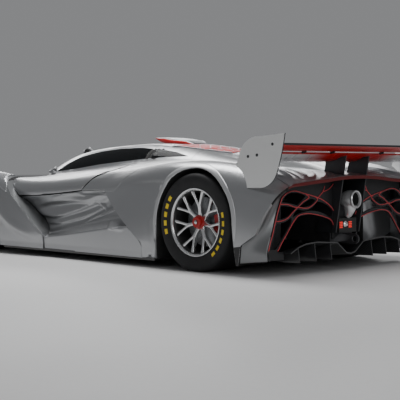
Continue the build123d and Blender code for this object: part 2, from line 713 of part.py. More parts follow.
# Nose shell with its fenders
headlamp_prism = plan_prism(
    [(FRONT_AXLE_X + 640, 610), (FRONT_AXLE_X + 560, 760), (FRONT_AXLE_X + 430, 830), (FRONT_AXLE_X + 500, 690)],
    250.0, 700.0,
)
headlamp_left = region(nose_body, keep=headlamp_prism)
headlamps = both_sides(headlamp_left)
nose_deck = box_between((FRONT_AXLE_X - 550, -640, CANOPY_FOOT_Z), (NOSE_X, 640, ABOVE))
nose_keep = joined(seam_prism(NOSE_SEAM, NOSE_X + 100, ABOVE), nose_deck)
nose_shell = region(
    nose_body,
    keep=nose_keep,
    cut=both_wells[:2] + doors_space + [front_tunnel, mirrored(front_tunnel), tub_space, canopy_space,
                                        headlamp_prism, mirrored(headlamp_prism)],
)

# Canopy frame: roof spine, pillars and the frames of the quarter windows
CANOPY_REAR_X = -880.0
canopy_shell = region(canopy_outer, cut=[canopy_inner])
canopy_frame = region(
    canopy_shell,
    keep=box_between((CANOPY_REAR_X, -OUTSIDE, 0), (NOSE_X, OUTSIDE, ABOVE)),
    cut=doors_space + [windscreen_cut, quarter_glass_cut, mirrored(quarter_glass_cut)],
)
canopy_frame = joined(canopy_frame, *frame_leaves, *[mirrored(leaf) for leaf in frame_leaves])

# Doors: outer skin, inner wall and window frame in one piece
door_panel_left = region(
    joined(side_body, canopy_outer),
    keep=door_region(0.0),
    cut=[canopy_inner, door_glass_cut, box_between((-FAR, 0, 0), (FAR, OUTSIDE, DOOR_FOOT_Z))] + door_room,
)
door_panel_left = region(joined(door_panel_left, *door_leaves), cut=hinge_bores)

# Side pods below the doors, set back behind the nose and in front of the rear shell
POD_OUTLINE = (
    [(NOSE_SEAM[1][0], NOSE_SEAM[1][1])] + list(NOSE_SEAM[2:]) + [REAR_SEAM[6], REAR_SEAM[5], REAR_SEAM[4],
     REAR_SEAM[3], REAR_SEAM[2], DOOR_SILL[1], DOOR_SILL[0]]
)
side_pod_left = region(
    side_body, keep=widened(POD_OUTLINE, -PANEL_GAP, TUB_HALF_WIDTH + PANEL_GAP, OUTSIDE), cut=[door_space]
)
side_pods = both_sides(side_pod_left)

# Rear shell: one piece over both rear wheels, open behind and below, with room for the engine
rear_keep = seam_prism(REAR_SEAM, TAIL_X, ABOVE)
tail_keep = side_prism([(FRONT_AXLE_X, ABOVE)] + TAIL_EDGE + [(FRONT_AXLE_X, FLOOR_TOP_Z)], -OUTSIDE, OUTSIDE)
bay_prism = box_between((TAIL_X, -BAY_HALF_WIDTH, 0), (FRONT_AXLE_X, BAY_HALF_WIDTH, ABOVE))
BAY_BACK_X = REAR_AXLE_X - rear.tyre_radius - 75.0
tail_prism = box_between((TAIL_X, -OUTSIDE, 0), (BAY_BACK_X, OUTSIDE, ABOVE))
bay = region(rear_body_inner, keep=bay_prism)
tail_bay = region(rear_body_inner, keep=tail_prism)
rear_shell = region(
    rear_body, keep=rear_keep,
    cut=both_wells[2:] + doors_space + [bay, tail_bay, tub_space, canopy_space],
)
rear_shell = region(rear_shell, keep=tail_keep)

# Engine cover: the canopy's tail, standing out of the rear shell
engine_cover = region(
    canopy_outer,
    keep=box_between((TAIL_X, -OUTSIDE, 0), (CANOPY_REAR_X - PANEL_GAP, OUTSIDE, ABOVE)),
    cut=[canopy_inner],
)


def tub_side_y(x):
    """Distance of the tub's side from the centre plane, at a place along the car."""
    corners = [corner for corner in TUB_OUTLINE if corner[1] > 0]
    for (x0, y0), (x1, y1) in zip(corners, corners[1:]):
        if x0 <= x <= x1:
            return y0 + (y1 - y0) * (x - x0) / max(x1 - x0, 1e-6)
    return corners[-1][1]


# Wing, on two pillars
WING_HALF_SPAN = 930.0
ENDPLATE = 10.0
PILLAR_Y = 134.0
MAIN_WING = [(TAIL_X + 351.5, 803.0), (TAIL_X + 300, 790.0), (TAIL_X + 111.5, 846.0), (TAIL_X + 115, 853.0),
             (TAIL_X + 240, 826.0), (TAIL_X + 351.5, 803.0)]
FLAP = [(TAIL_X + 131.5, 862.0), (TAIL_X + 100, 860.0), (TAIL_X + 12, 900.0), (TAIL_X + 16, 906.0),
        (TAIL_X + 85, 882.0), (TAIL_X + 131.5, 862.0)]


def wing_element(section):
    """Wing element between the endplates: an arc below, an arc above and a blunt trailing edge."""
    lead, belly, trail_low, trail_high, back, _ = section
    with BuildPart() as element:
        with BuildSketch(Plane.XZ.offset(-(WING_HALF_SPAN - RUNNING_GAP))):
            with BuildLine():
                ThreePointArc(lead, belly, trail_low)
                Line(trail_low, trail_high)
                ThreePointArc(trail_high, back, lead)
            make_face()
        extrude(amount=2 * (WING_HALF_SPAN - RUNNING_GAP))
    return element.part


wing_main = wing_element(MAIN_WING)
wing_flap = wing_element(FLAP)

with BuildPart() as endplate:
    with BuildSketch(Plane.XZ.offset(-WING_HALF_SPAN)):
        with BuildLine():
            Line((TAIL_X, HEIGHT), (TAIL_X + 221.5, 958))
            ThreePointArc((TAIL_X + 221.5, 958), (TAIL_X + 348, 921), (TAIL_X + 406.5, 833))
            Line((TAIL_X + 406.5, 833), (TAIL_X + 429.5, 758))
            ThreePointArc((TAIL_X + 429.5, 758), (TAIL_X + 362, 697), (TAIL_X + 332.5, 609))
            Line((TAIL_X + 332.5, 609), (TAIL_X + 231.5, 612))
            ThreePointArc((TAIL_X + 231.5, 612), (TAIL_X + 128, 638), (TAIL_X + 74.5, 699))
            ThreePointArc((TAIL_X + 74.5, 699), (TAIL_X + 22.5, 864), (TAIL_X, HEIGHT))
        make_face()
    extrude(amount=-ENDPLATE)
wing_endplates = both_sides(endplate.part)

PILLAR_OUTLINE = [
    (TAIL_X + 271.5, 806.0), (TAIL_X + 91.5, 832.0), (TAIL_X + 181.5, 270.0), (TAIL_X + 361.5, 270.0),
]
pillar_left = region(
    side_prism(PILLAR_OUTLINE, PILLAR_Y, PILLAR_Y + PLATE), cut=[wing_main, wing_flap]
)
wing_pillars = both_sides(pillar_left)
pillar_slot = widened(PILLAR_OUTLINE, PANEL_GAP, PILLAR_Y - PANEL_GAP, PILLAR_Y + PLATE + PANEL_GAP)
pillar_slots = [pillar_slot, mirrored(pillar_slot)]

# Powertrain: engine as a plain block, gearbox behind it
GEARBOX_BACK_X = TAIL_X + 241.5
ENGINE_BACK_X = REAR_AXLE_X + 200.0
engine_block = box_between((ENGINE_BACK_X, -260, 105), (TUB_REAR_X - RUNNING_GAP, 260, 600))
GEARBOX_BOTTOM_Z = 200.0
gearbox = box_between(
    (GEARBOX_BACK_X, -(PILLAR_Y - RUNNING_GAP), GEARBOX_BOTTOM_Z),
    (ENGINE_BACK_X - RUNNING_GAP, PILLAR_Y - RUNNING_GAP, 560),
)
TOW_EYE_RADIUS = 22.0
TOW_EYE_X = GEARBOX_BACK_X - 125.0
TOW_EYE_Z = 226.0
with BuildPart() as gearbox_part:
    add(gearbox)
    with BuildSketch(Plane.XZ.offset(-8)):
        with Locations((TOW_EYE_X, TOW_EYE_Z)):
            Circle(TOW_EYE_RADIUS + 16)
        with Locations(((TOW_EYE_X + GEARBOX_BACK_X) / 2, TOW_EYE_Z)):
            Rectangle(GEARBOX_BACK_X - TOW_EYE_X, 2 * (TOW_EYE_RADIUS + 16))
        with Locations((TOW_EYE_X, TOW_EYE_Z)):
            Circle(TOW_EYE_RADIUS, mode=Mode.SUBTRACT)
    extrude(amount=16)
gearbox = gearbox_part.part

EXHAUST_RADIUS = 56.0
EXHAUST_Z = 505.0
with BuildPart() as exhaust_part:
    with BuildSketch(Plane(origin=(GEARBOX_BACK_X - RUNNING_GAP, 0, EXHAUST_Z), z_dir=(-1, 0, 0))):
        Circle(EXHAUST_RADIUS)
    extrude(amount=88)
    with BuildSketch(Plane(origin=(GEARBOX_BACK_X - 88 - RUNNING_GAP, 0, EXHAUST_Z), z_dir=(1, 0, 0))):
        Circle(EXHAUST_RADIUS - 9)
    extrude(amount=60, mode=Mode.SUBTRACT)
exhaust = exhaust_part.part
rain_light = box_between((GEARBOX_BACK_X - 62, -105, 272), (GEARBOX_BACK_X - RUNNING_GAP, 105, 376))

# Floor: undertray with the front splitter, then the diffuser with its strakes
DIFFUSER_FRONT_X = REAR_AXLE_X - 200.0
DIFFUSER_BACK_X = TAIL_X + 150.0
FLOOR_OUTLINE = [
    (DIFFUSER_FRONT_X, 0.0), (DIFFUSER_FRONT_X, 505.0), (REAR_AXLE_X + 420, 505.0), (REAR_AXLE_X + 440, FLOOR_HALF_WIDTH),
    (FRONT_AXLE_X - 430, FLOOR_HALF_WIDTH), (FRONT_AXLE_X - 425, 505.0), (FRONT_AXLE_X + 425, 505.0),
    (FRONT_AXLE_X + 430, 900.0), (NOSE_X - 280, 880.0), (NOSE_X - 115, 705.0), (NOSE_X - 20, 400.0), (NOSE_X, 0.0),
]
undertray = plan_prism(half_outline(FLOOR_OUTLINE), FLOOR_BOTTOM_Z, FLOOR_TOP_Z)

DIFFUSER_SHEET = 10.0
DIFFUSER_HALF_WIDTH = 690.0
DIFFUSER_TOP_Z = 226.0
DIFFUSER_BACK = [
    (0.0, 122.0), (55.0, 132.0), (160.0, 208.0), (400.0, 224.0), (520.0, 218.0), (600.0, 199.0), (DIFFUSER_HALF_WIDTH, 160.0),
]
STRAKES = [250.0, 430.0, 612.0]
STRAKE_THICKNESS = 8.0
STRAKE_INSET = 160.0


def diffuser_strip(low, high):
    """Strip of the diffuser's sheet between two of its folds, from the floor's edge to the back."""
    with BuildPart() as strip:
        for x, rise in ((DIFFUSER_FRONT_X - RUNNING_GAP, 0.0), (DIFFUSER_BACK_X, 1.0)):
            (y0, z0), (y1, z1) = [(y, FLOOR_TOP_Z + rise * (z - FLOOR_TOP_Z)) for y, z in (low, high)]
            with BuildSketch(section_plane(x)):
                with BuildLine():
                    Polyline((y0, z0), (y1, z1), (y1, z1 - DIFFUSER_SHEET), (y0, z0 - DIFFUSER_SHEET), close=True)
                make_face()
        loft(ruled=True)
    return strip.part


def sheet_height(x, y):
    """Height of the diffuser's underside."""
    for (y0, z0), (y1, z1) in zip(DIFFUSER_BACK, DIFFUSER_BACK[1:]):
        if y0 <= y <= y1:
            back = z0 + (z1 - z0) * (y - y0) / (y1 - y0)
    front = FLOOR_TOP_Z
    return front + (back - front) * (DIFFUSER_FRONT_X - x) / (DIFFUSER_FRONT_X - DIFFUSER_BACK_X) - DIFFUSER_SHEET


def strake(y):
    """Upright fin under the diffuser at a distance from the centre plane."""
    back_z = sheet_height(DIFFUSER_BACK_X, abs(y))
    front_z = sheet_height(DIFFUSER_FRONT_X - STRAKE_INSET, abs(y))
    outline = [
        (DIFFUSER_FRONT_X - STRAKE_INSET, front_z + 4), (DIFFUSER_BACK_X, back_z + 4),
        (DIFFUSER_BACK_X - 18, STRAKE_BOTTOM_Z), (DIFFUSER_BACK_X + 120, STRAKE_BOTTOM_Z - 4),
        (DIFFUSER_FRONT_X - STRAKE_INSET, front_z - 8),
    ]
    return side_prism(outline, y - STRAKE_THICKNESS / 2, y + STRAKE_THICKNESS / 2)


diffuser_left = joined(
    *[diffuser_strip(low, high) for low, high in zip(DIFFUSER_BACK, DIFFUSER_BACK[1:])], *[strake(y) for y in STRAKES]
)
diffuser = both_sides(region(diffuser_left, cut=[rear_well]))

# Black rear panel: a lattice of curved ribs round its openings, which are mirrored to the right. Each opening is
# a closed run of arcs, given as (distance left, height) of a corner, then a point on the arc to the next corner.
FASCIA_X = TAIL_X + 216.5
FASCIA_TOP = (690.0, 720.0)
FASCIA_SHOULDER = (715.0, 544.0)
FASCIA_SIDE = (776.0, 420.0)
FASCIA_FOOT = (864.0, 179.0)
FASCIA_TOE = (846.0, 110.0)
FASCIA_OPENINGS = {
    "arch": [(768, 165), (660, 300), (548, 402), (400, 416), (190, 370), (162, 350), (152, 320), (152, 240),
             (152, 165), (460, 165)],
    "eye": [(721, 508), (674, 556), (588, 570), (522, 566), (463, 545), (507, 512), (556, 482), (640, 500)],
    "fin": [(768, 392), (757, 440), (738, 482), (655, 478), (572, 462), (668, 405)],
    "drop": [(530, 474), (482, 498), (425, 520), (390, 524), (352, 514), (392, 487), (448, 472), (490, 469)],
    "long": [(606, 398), (580, 437), (540, 456), (430, 450), (335, 502), (235, 483), (155, 428), (165, 400),
             (185, 386), (390, 440)],
    "leg": [(771, 366), (810, 280), (846, 190), (815, 186), (782, 184), (710, 262), (640, 340), (618, 372),
            (622, 402), (690, 372)],
}


def fascia_opening(points):
    """Cutter for one opening of the rear panel, through the plate."""
    corners = points[0::2] + points[:1]
    with BuildPart() as opening:
        with BuildSketch(section_plane(FASCIA_X - 2 * PLATE)):
            with BuildLine():
                for corner, via, following in zip(corners, points[1::2], corners[1:]):
                    arc_or_line(corner, via, following)
            make_face()
        extrude(amount=3 * PLATE)
    return opening.part


with BuildPart() as fascia_plate:
    with BuildSketch(section_plane(FASCIA_X - PLATE)):
        with BuildLine():
            Polyline((PILLAR_Y, FASCIA_TOE[1]), (PILLAR_Y, FASCIA_TOP[1]), FASCIA_TOP, FASCIA_SHOULDER)
            ThreePointArc(FASCIA_SHOULDER, FASCIA_SIDE, FASCIA_FOOT)
            Polyline(FASCIA_FOOT, FASCIA_TOE, (PILLAR_Y, FASCIA_TOE[1]))
        make_face()
    extrude(amount=PLATE)

# Corner panel: a ruled sheet from the rear panel's outer edge forward to the wheel arch
CORNER_FRONT_Y = 884.0
CORNER_ROWS = [(FASCIA_TOE, 100.0), (FASCIA_FOOT, 200.0), ((822, 298), 300.0), (FASCIA_SIDE, 400.0), ((741, 500), 480.0),
               (FASCIA_SHOULDER, 540.0), (FASCIA_TOP, 620.0)]
with BuildPart() as corner_panel:
    for x, edge in (
        (FASCIA_X, [back for back, _ in CORNER_ROWS]),
        (BAY_BACK_X - RUNNING_GAP, [(CORNER_FRONT_Y, z) for _, z in CORNER_ROWS]),
    ):
        with BuildSketch(section_plane(x)):
            with BuildLine():
                Polyline(*edge, *[(y - PLATE, z) for y, z in reversed(edge)], close=True)
            make_face()
    loft(ruled=True)
under_diffuser = side_prism(
    [(DIFFUSER_FRONT_X + 10, FLOOR_BOTTOM_Z), (DIFFUSER_FRONT_X + 10, FLOOR_TOP_Z + 8),
     (DIFFUSER_BACK_X - 100, DIFFUSER_TOP_Z + 60), (DIFFUSER_BACK_X - 100, FLOOR_BOTTOM_Z)],
    -DIFFUSER_HALF_WIDTH - 10, DIFFUSER_HALF_WIDTH + 10,
)
fascia_left = region(
    joined(fascia_plate.part, corner_panel.part),
    keep=rear_body_inner,
    cut=[fascia_opening(points) for points in FASCIA_OPENINGS.values()] + [under_diffuser, pillar_slot],
)
rear_fascia = both_sides(fascia_left)

engine_cover = region(engine_cover, cut=[rear_body_inner] + pillar_slots)
rear_shell = region(
    rear_shell, cut=pillar_slots + [rear_tunnel, mirrored(rear_tunnel), wing_endplates, under_diffuser]
)

# Roof scoop
SCOOP_FRONT_X = -10.0
SCOOP_LENGTH = 400.0
with BuildPart() as scoop:
    for x, half, low, high in (
        (SCOOP_FRONT_X, 165, 930, HEIGHT), (SCOOP_FRONT_X - 200, 150, 930, HEIGHT - 12),
        (SCOOP_FRONT_X - SCOOP_LENGTH, 118, 900, HEIGHT - 44),
    ):
        with BuildSketch(section_plane(x)):
            with BuildLine():
                Polyline((-half, low), (half, low), (half - 26, high - 6), (half - 50, high), (-half + 50, high),
                         (-half + 26, high - 6), close=True)
            make_face()
    loft(ruled=True)
with BuildPart() as scoop_mouth:
    for x, half, low, high in (
        (SCOOP_FRONT_X + 1, 150, 930, HEIGHT - 9), (SCOOP_FRONT_X - SCOOP_LENGTH + 60, 112, 925, HEIGHT - 47),
    ):
        with BuildSketch(section_plane(x)):
            with BuildLine():
                Polyline((-half, low), (half, low), (half - 26, high), (-half + 26, high), close=True)
            make_face()
    loft(ruled=True)
roof_scoop = region(scoop.part, cut=[scoop_mouth.part, canopy_outer])

# Cabin fittings
bulkhead = region(
    canopy_inner,
    keep=box_between((TUB_REAR_X, -OUTSIDE, CANOPY_FOOT_Z + RUNNING_GAP), (TUB_REAR_X + PLATE, OUTSIDE, ABOVE)),
)
bulkhead = region(bulkhead, keep=canopy_loft(SKIN + RUNNING_GAP))
SEAT_Y = -235.0
SEAT_HALF_WIDTH = 215.0
SEAT_BASE_Z = FLOOR_TOP_Z + TUB_FLOOR + RUNNING_GAP
SEAT_PROFILE = [
    (180.0, 150.0), (160.0, 260.0), (-120.0, 190.0), (-430.0, 690.0), (-500.0, 660.0), (-170.0, SEAT_BASE_Z),
    (180.0, SEAT_BASE_Z),
]
seat = side_prism(SEAT_PROFILE, SEAT_Y - SEAT_HALF_WIDTH, SEAT_Y + SEAT_HALF_WIDTH)
DASH_HALF_WIDTH = TUB_HALF_WIDTH - TUB_WALL - RUNNING_GAP
dashboard = region(
    side_prism([(640, 465), (760, 465), (760, 560), (700, 620), (640, 600)], -DASH_HALF_WIDTH, DASH_HALF_WIDTH),
    keep=canopy_loft(SKIN + DOOR_GAP),
)
WHEEL_TILT = 20.0
with BuildPart() as steering_part:
    with BuildSketch(Plane(origin=(520, SEAT_Y, 560), x_dir=(0, 1, 0), z_dir=(-math.cos(math.radians(WHEEL_TILT)), 0, math.sin(math.radians(WHEEL_TILT))))):
        RectangleRounded(260, 170, 60)
        RectangleRounded(204, 114, 40, mode=Mode.SUBTRACT)
        Rectangle(214, 44)
    extrude(amount=24)
column = rod((520, SEAT_Y, 560), (645, SEAT_Y, 560 - 125 * math.tan(math.radians(WHEEL_TILT))), 16.0)
steering_wheel = region(joined(steering_part.part, column), cut=[dashboard])


# Suspension and wheels
front_ball_y = front.outer_y - front.tyre_width / 2 - KINGPIN_INSET
rear_ball_y = disc_face_y(rear) - DISC_THICKNESS - BRAKE_GAP - UPRIGHT_DEPTH / 2


def wishbone_pair(wheel, ball_y, reach, tub_side):
    """Upper and lower wishbones on the left, out to the upright's ball joints."""
    arms = []
    for sign in (1, -1):
        z = wheel.tyre_radius + sign * (BALL_HEIGHT + BALL_CAP + RUNNING_GAP + ARM_RADIUS)
        ball = (wheel.axle_x, ball_y, z)
        for side in (-1, 1):
            x = wheel.axle_x + side * reach
            arms.append(rod(ball, (x, tub_side(x), z), ARM_RADIUS))
        arms.append(rod((wheel.axle_x, ball_y, z - ARM_RADIUS), (wheel.axle_x, ball_y, z + ARM_RADIUS), BALL_RADIUS))
    return joined(*arms)


ROD_END = 6.0
front_wishbones = both_sides(wishbone_pair(front, front_ball_y, 140.0, lambda x: tub_side_y(x) + ROD_END))
rear_arms = wishbone_pair(rear, rear_ball_y, 180.0, lambda x: PILLAR_Y + ROD_END)
DRIVESHAFT_RADIUS = 17.0
upright_inner_y = disc_face_y(rear) - DISC_THICKNESS - BRAKE_GAP - UPRIGHT_DEPTH
driveshaft = rod(
    (rear.axle_x, PILLAR_Y, rear.tyre_radius), (rear.axle_x, upright_inner_y, rear.tyre_radius), DRIVESHAFT_RADIUS
)
rear_suspension = both_sides(joined(rear_arms, upright(rear), driveshaft))

finish(tub, "tub")
finish(undertray, "undertray")
finish(nose_shell, "nose_shell")
finish(side_pods, "side_pods")
finish(rear_shell, "rear_shell")
finish(canopy_frame, "canopy_frame")
finish(windscreen, "windscreen")
finish(quarter_windows, "quarter_windows")
finish(engine_cover, "engine_cover")
finish(roof_scoop, "roof_scoop")
finish(headlamps, "headlamps")
finish(bulkhead, "bulkhead")
finish(seat, "seat")
finish(dashboard, "dashboard")
finish(steering_wheel, "steering_wheel")
finish(wing_main, "wing_main")
finish(wing_flap, "wing_flap")
finish(wing_endplates, "wing_endplates")
finish(wing_pillars, "wing_pillars")
finish(diffuser, "diffuser")
finish(rear_fascia, "rear_fascia")
finish(engine_block, "engine_block")
finish(gearbox, "gearbox")
finish(exhaust, "exhaust")
finish(rain_light, "rain_light")
finish(front_wishbones, "front_wishbones")
finish(rear_suspension, "rear_suspension")
front_upright = upright(front)
for side, turn in (("left", lambda shape: region(shape)), ("right", mirrored)):
    finish(turn(door_panel_left), f"door_panel_{side}")
    finish(turn(door_glass_left), f"door_glass_{side}")
    finish(turn(front_upright), f"front_upright_{side}")
for wheel in WHEELS:
    for side, turn in (("left", lambda shape: region(shape)), ("right", mirrored)):
        finish(turn(tyre(wheel)), f"{wheel.name}_tyre_{side}")
        finish(turn(rim(wheel)), f"{wheel.name}_rim_{side}")
        finish(turn(brake_disc(wheel)), f"{wheel.name}_disc_{side}")
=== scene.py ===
"""The finishes of a closed sports prototype race car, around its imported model. Metres, +X to the nose, +Y to the
car's left, +Z up."""

import json
import math
from functools import partial

import bmesh
import bpy
import numpy as np
from mathutils import Matrix, Vector

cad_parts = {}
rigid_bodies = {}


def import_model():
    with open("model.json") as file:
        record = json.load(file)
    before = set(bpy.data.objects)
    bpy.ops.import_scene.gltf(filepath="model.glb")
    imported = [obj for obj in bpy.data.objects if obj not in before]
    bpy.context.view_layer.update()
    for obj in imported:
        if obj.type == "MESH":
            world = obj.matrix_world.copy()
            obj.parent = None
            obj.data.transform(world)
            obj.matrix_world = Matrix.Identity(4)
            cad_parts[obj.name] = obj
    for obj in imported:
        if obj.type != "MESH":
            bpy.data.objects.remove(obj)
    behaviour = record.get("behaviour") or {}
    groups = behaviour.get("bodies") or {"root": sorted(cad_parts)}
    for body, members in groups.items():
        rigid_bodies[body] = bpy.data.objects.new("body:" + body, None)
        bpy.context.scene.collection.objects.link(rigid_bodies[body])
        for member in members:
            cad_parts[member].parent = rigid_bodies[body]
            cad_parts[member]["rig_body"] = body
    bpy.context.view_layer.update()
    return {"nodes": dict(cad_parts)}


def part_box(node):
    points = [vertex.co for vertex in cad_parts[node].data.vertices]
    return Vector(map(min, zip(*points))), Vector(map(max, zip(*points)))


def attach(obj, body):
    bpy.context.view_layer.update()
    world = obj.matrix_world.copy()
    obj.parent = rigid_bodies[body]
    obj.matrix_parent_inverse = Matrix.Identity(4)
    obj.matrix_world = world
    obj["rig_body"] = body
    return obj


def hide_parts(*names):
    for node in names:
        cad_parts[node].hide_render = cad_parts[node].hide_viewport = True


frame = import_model()

# The camera that fits the photograph's 400 x 400 frame
CAMERA_PLACE = (-6.735, 6.267, 0.765)
CAMERA_FORWARD = (0.7005, -0.7129, -0.0333)
CAMERA_FOCAL_PIXELS = 1050.0
FRAME_PIXELS = 400.0
SENSOR_MM = 36.0

SIDES = (("left", 1.0), ("right", -1.0))
MILLIMETRE = 0.001
FAR = 1.2  # Distance left, or height, from which a grid is dropped on a panel


# Shader node groups, each built once


def new_group(name, inputs, outputs):
    """Empty node group with float or vector inputs, and its input and output nodes."""
    group = bpy.data.node_groups.new(name, "ShaderNodeTree")
    for label, kind, default in inputs:
        socket = group.interface.new_socket(label, in_out="INPUT", socket_type=kind)
        if default is not None:
            socket.default_value = default
    for label in outputs:
        group.interface.new_socket(label, in_out="OUTPUT", socket_type="NodeSocketFloat")
    return group, group.nodes.new("NodeGroupInput"), group.nodes.new("NodeGroupOutput")


def math_node(tree, operation, first, second=0.0):
    """Math node whose inputs are sockets or plain numbers; returns its output."""
    node = tree.nodes.new("ShaderNodeMath")
    node.operation = operation
    for socket, value in zip(node.inputs, (first, second)):
        if hasattr(value, "is_linked"):
            tree.links.new(value, socket)
        else:
            socket.default_value = value
    return node.outputs[0]


def vector_parts(tree, vector):
    """Outputs X, Y and Z of a vector."""
    node = tree.nodes.new("ShaderNodeSeparateXYZ")
    tree.links.new(vector, node.inputs[0])
    return node.outputs


def ramp_node(tree, value, low, high, out_low=0.0, out_high=1.0):
    """Smooth step of a value from low to high, onto another range."""
    node = tree.nodes.new("ShaderNodeMapRange")
    node.interpolation_type = "SMOOTHSTEP"
    tree.links.new(value, node.inputs["Value"])
    for label, number in (("From Min", low), ("From Max", high), ("To Min", out_low), ("To Max", out_high)):
        node.inputs[label].default_value = number
    return node.outputs["Result"]


def grain_group():
    """Two noises of different scale: Fine for grain, flake and stipple, Broad for slow change over a panel."""
    group, start, end = new_group(
        "fine_and_broad_grain",
        [("Place", "NodeSocketVector", None), ("Fine Scale", "NodeSocketFloat", 900.0),
         ("Broad Scale", "NodeSocketFloat", 3.0)],
        ["Fine", "Broad"],
    )
    for label in ("Fine", "Broad"):
        noise = group.nodes.new("ShaderNodeTexNoise")
        noise.inputs["Detail"].default_value = 2.0 if label == "Fine" else 5.0
        group.links.new(start.outputs["Place"], noise.inputs["Vector"])
        group.links.new(start.outputs[label + " Scale"], noise.inputs["Scale"])
        group.links.new(noise.outputs["Fac"], end.inputs[label])
    return group


def twill_group():
    """Twill weave of carbon cloth: strands run across x + 0.7 z and y + 0.7 z, each over two and under two."""
    group, start, end = new_group(
        "twill_weave",
        [("Place", "NodeSocketVector", None), ("Strands per Metre", "NodeSocketFloat", 250.0)],
        ["Shade", "Height"],
    )
    compute = partial(math_node, group)
    place = vector_parts(group, start.outputs["Place"])
    lean = compute("MULTIPLY", place["Z"], 0.7)
    u, v = (compute("MULTIPLY", compute("ADD", place[axis], lean), start.outputs["Strands per Metre"])
            for axis in "XY")
    turn = compute("FRACT", compute("MULTIPLY", compute("ADD", compute("FLOOR", u), compute("FLOOR", v)), 0.25))
    over = compute("LESS_THAN", turn, 0.49)
    strand_u, strand_v = (compute("ABSOLUTE", compute("SINE", compute("MULTIPLY", w, math.pi))) for w in (u, v))
    mix = group.nodes.new("ShaderNodeMix")
    for socket, value in ((mix.inputs[0], over), (mix.inputs[2], strand_u), (mix.inputs[3], strand_v)):
        group.links.new(value, socket)
    group.links.new(mix.outputs[0], end.inputs["Height"])
    shade = compute("MULTIPLY", mix.outputs[0], compute("ADD", compute("MULTIPLY", over, 0.5), 0.5))
    group.links.new(shade, end.inputs["Shade"])
    return group


def ring_group():
    """Distance from an axle that runs along Y, and the turn round it from 0 to 1."""
    group, start, end = new_group(
        "round_the_axle",
        [("Place", "NodeSocketVector", None), ("Axle X", "NodeSocketFloat", 0.0),
         ("Axle Z", "NodeSocketFloat", 0.3)],
        ["Radius", "Turn"],
    )
    compute = partial(math_node, group)
    place = vector_parts(group, start.outputs["Place"])
    x, z = (compute("SUBTRACT", place[axis], start.outputs["Axle " + axis]) for axis in "XZ")
    squares = compute("ADD", compute("MULTIPLY", x, x), compute("MULTIPLY", z, z))
    group.links.new(compute("SQRT", squares), end.inputs["Radius"])
    group.links.new(compute("DIVIDE", compute("ARCTAN2", z, x), 2 * math.pi), end.inputs["Turn"])
    return group


GRAIN = grain_group()
TWILL = twill_group()
RING = ring_group()


class Finish:
    """Material under construction: its node tree, its Principled shader and the object's coordinates."""

    def __init__(self, name, metallic=0.0, roughness=0.5, coat=0.0, coat_roughness=0.05, specular=0.5):
        self.material = bpy.data.materials.new(name)
        self.material.use_nodes = True
        self.tree = self.material.node_tree
        self.compute = partial(math_node, self.tree)
        self.shader = self.tree.nodes["Principled BSDF"]
        for label, value in (("Metallic", metallic), ("Roughness", roughness), ("Coat Weight", coat),
                             ("Coat Roughness", coat_roughness), ("Specular IOR Level", specular)):
            self.shader.inputs[label].default_value = value
        self.place = self.tree.nodes.new("ShaderNodeTexCoord").outputs["Object"]

    def group(self, group, **values):
        """A placed group that reads the object's coordinates."""
        node = self.tree.nodes.new("ShaderNodeGroup")
        node.node_tree = group
        self.tree.links.new(self.place, node.inputs["Place"])
        for label, value in values.items():
            node.inputs[label.replace("_", " ")].default_value = value
        return node.outputs

    def mix(self, mask, first, second):
        """Colour that goes from first to second with the mask; each is a colour or a socket."""
        node = self.tree.nodes.new("ShaderNodeMix")
        node.data_type = "RGBA"
        self.tree.links.new(mask, node.inputs[0])
        for socket, value in zip(node.inputs[6:8], (first, second)):  # The two inputs that are colours
            if hasattr(value, "is_linked"):
                self.tree.links.new(value, socket)
            else:
                socket.default_value = (*value, 1.0)
        return node.outputs[2]

    def colour(self, socket):
        self.tree.links.new(socket, self.shader.inputs["Base Color"])
        return self

    def roughen(self, mask, low, high):
        """Roughness that follows a mask between two values."""
        self.tree.links.new(ramp_node(self.tree, mask, 0.3, 0.7, low, high), self.shader.inputs["Roughness"])
        return self

    def bump(self, height, distance, strength=0.4):
        node = self.tree.nodes.new("ShaderNodeBump")
        node.inputs["Strength"].default_value = strength
        node.inputs["Distance"].default_value = distance
        self.tree.links.new(height, node.inputs["Height"])
        self.tree.links.new(node.outputs["Normal"], self.shader.inputs["Normal"])
        return self


def grained(name, dark, light, fine=900.0, broad=3.0, distance=0.0003, rough=(0.3, 0.5), strength=0.3, **settings):
    """Finish with a fine grain in its colour and surface, and a slow change of gloss."""
    finish = Finish(name, **settings)
    grain = finish.group(GRAIN, Fine_Scale=fine, Broad_Scale=broad)
    finish.colour(finish.mix(grain["Fine"], dark, light))
    finish.roughen(grain["Broad"], *rough)
    finish.bump(grain["Fine"], distance, strength)
    return finish


def carbon_finish():
    finish = Finish("woven_carbon", roughness=0.4, coat=0.6, coat_roughness=0.12)
    weave = finish.group(TWILL, Strands_per_Metre=160.0)
    finish.colour(finish.mix(weave["Shade"], (0.006, 0.006, 0.007), (0.045, 0.046, 0.048)))
    finish.bump(weave["Height"], 0.0004, 0.3)
    return finish


def glass_finish():
    finish = Finish("smoked_glass", roughness=0.03, specular=0.12)
    grain = finish.group(GRAIN, Fine_Scale=40.0, Broad_Scale=1.5)
    finish.colour(finish.mix(grain["Broad"], (0.05, 0.055, 0.06), (0.09, 0.095, 0.10)))
    finish.shader.inputs["Transmission Weight"].default_value = 0.9
    finish.shader.inputs["IOR"].default_value = 1.12
    return finish


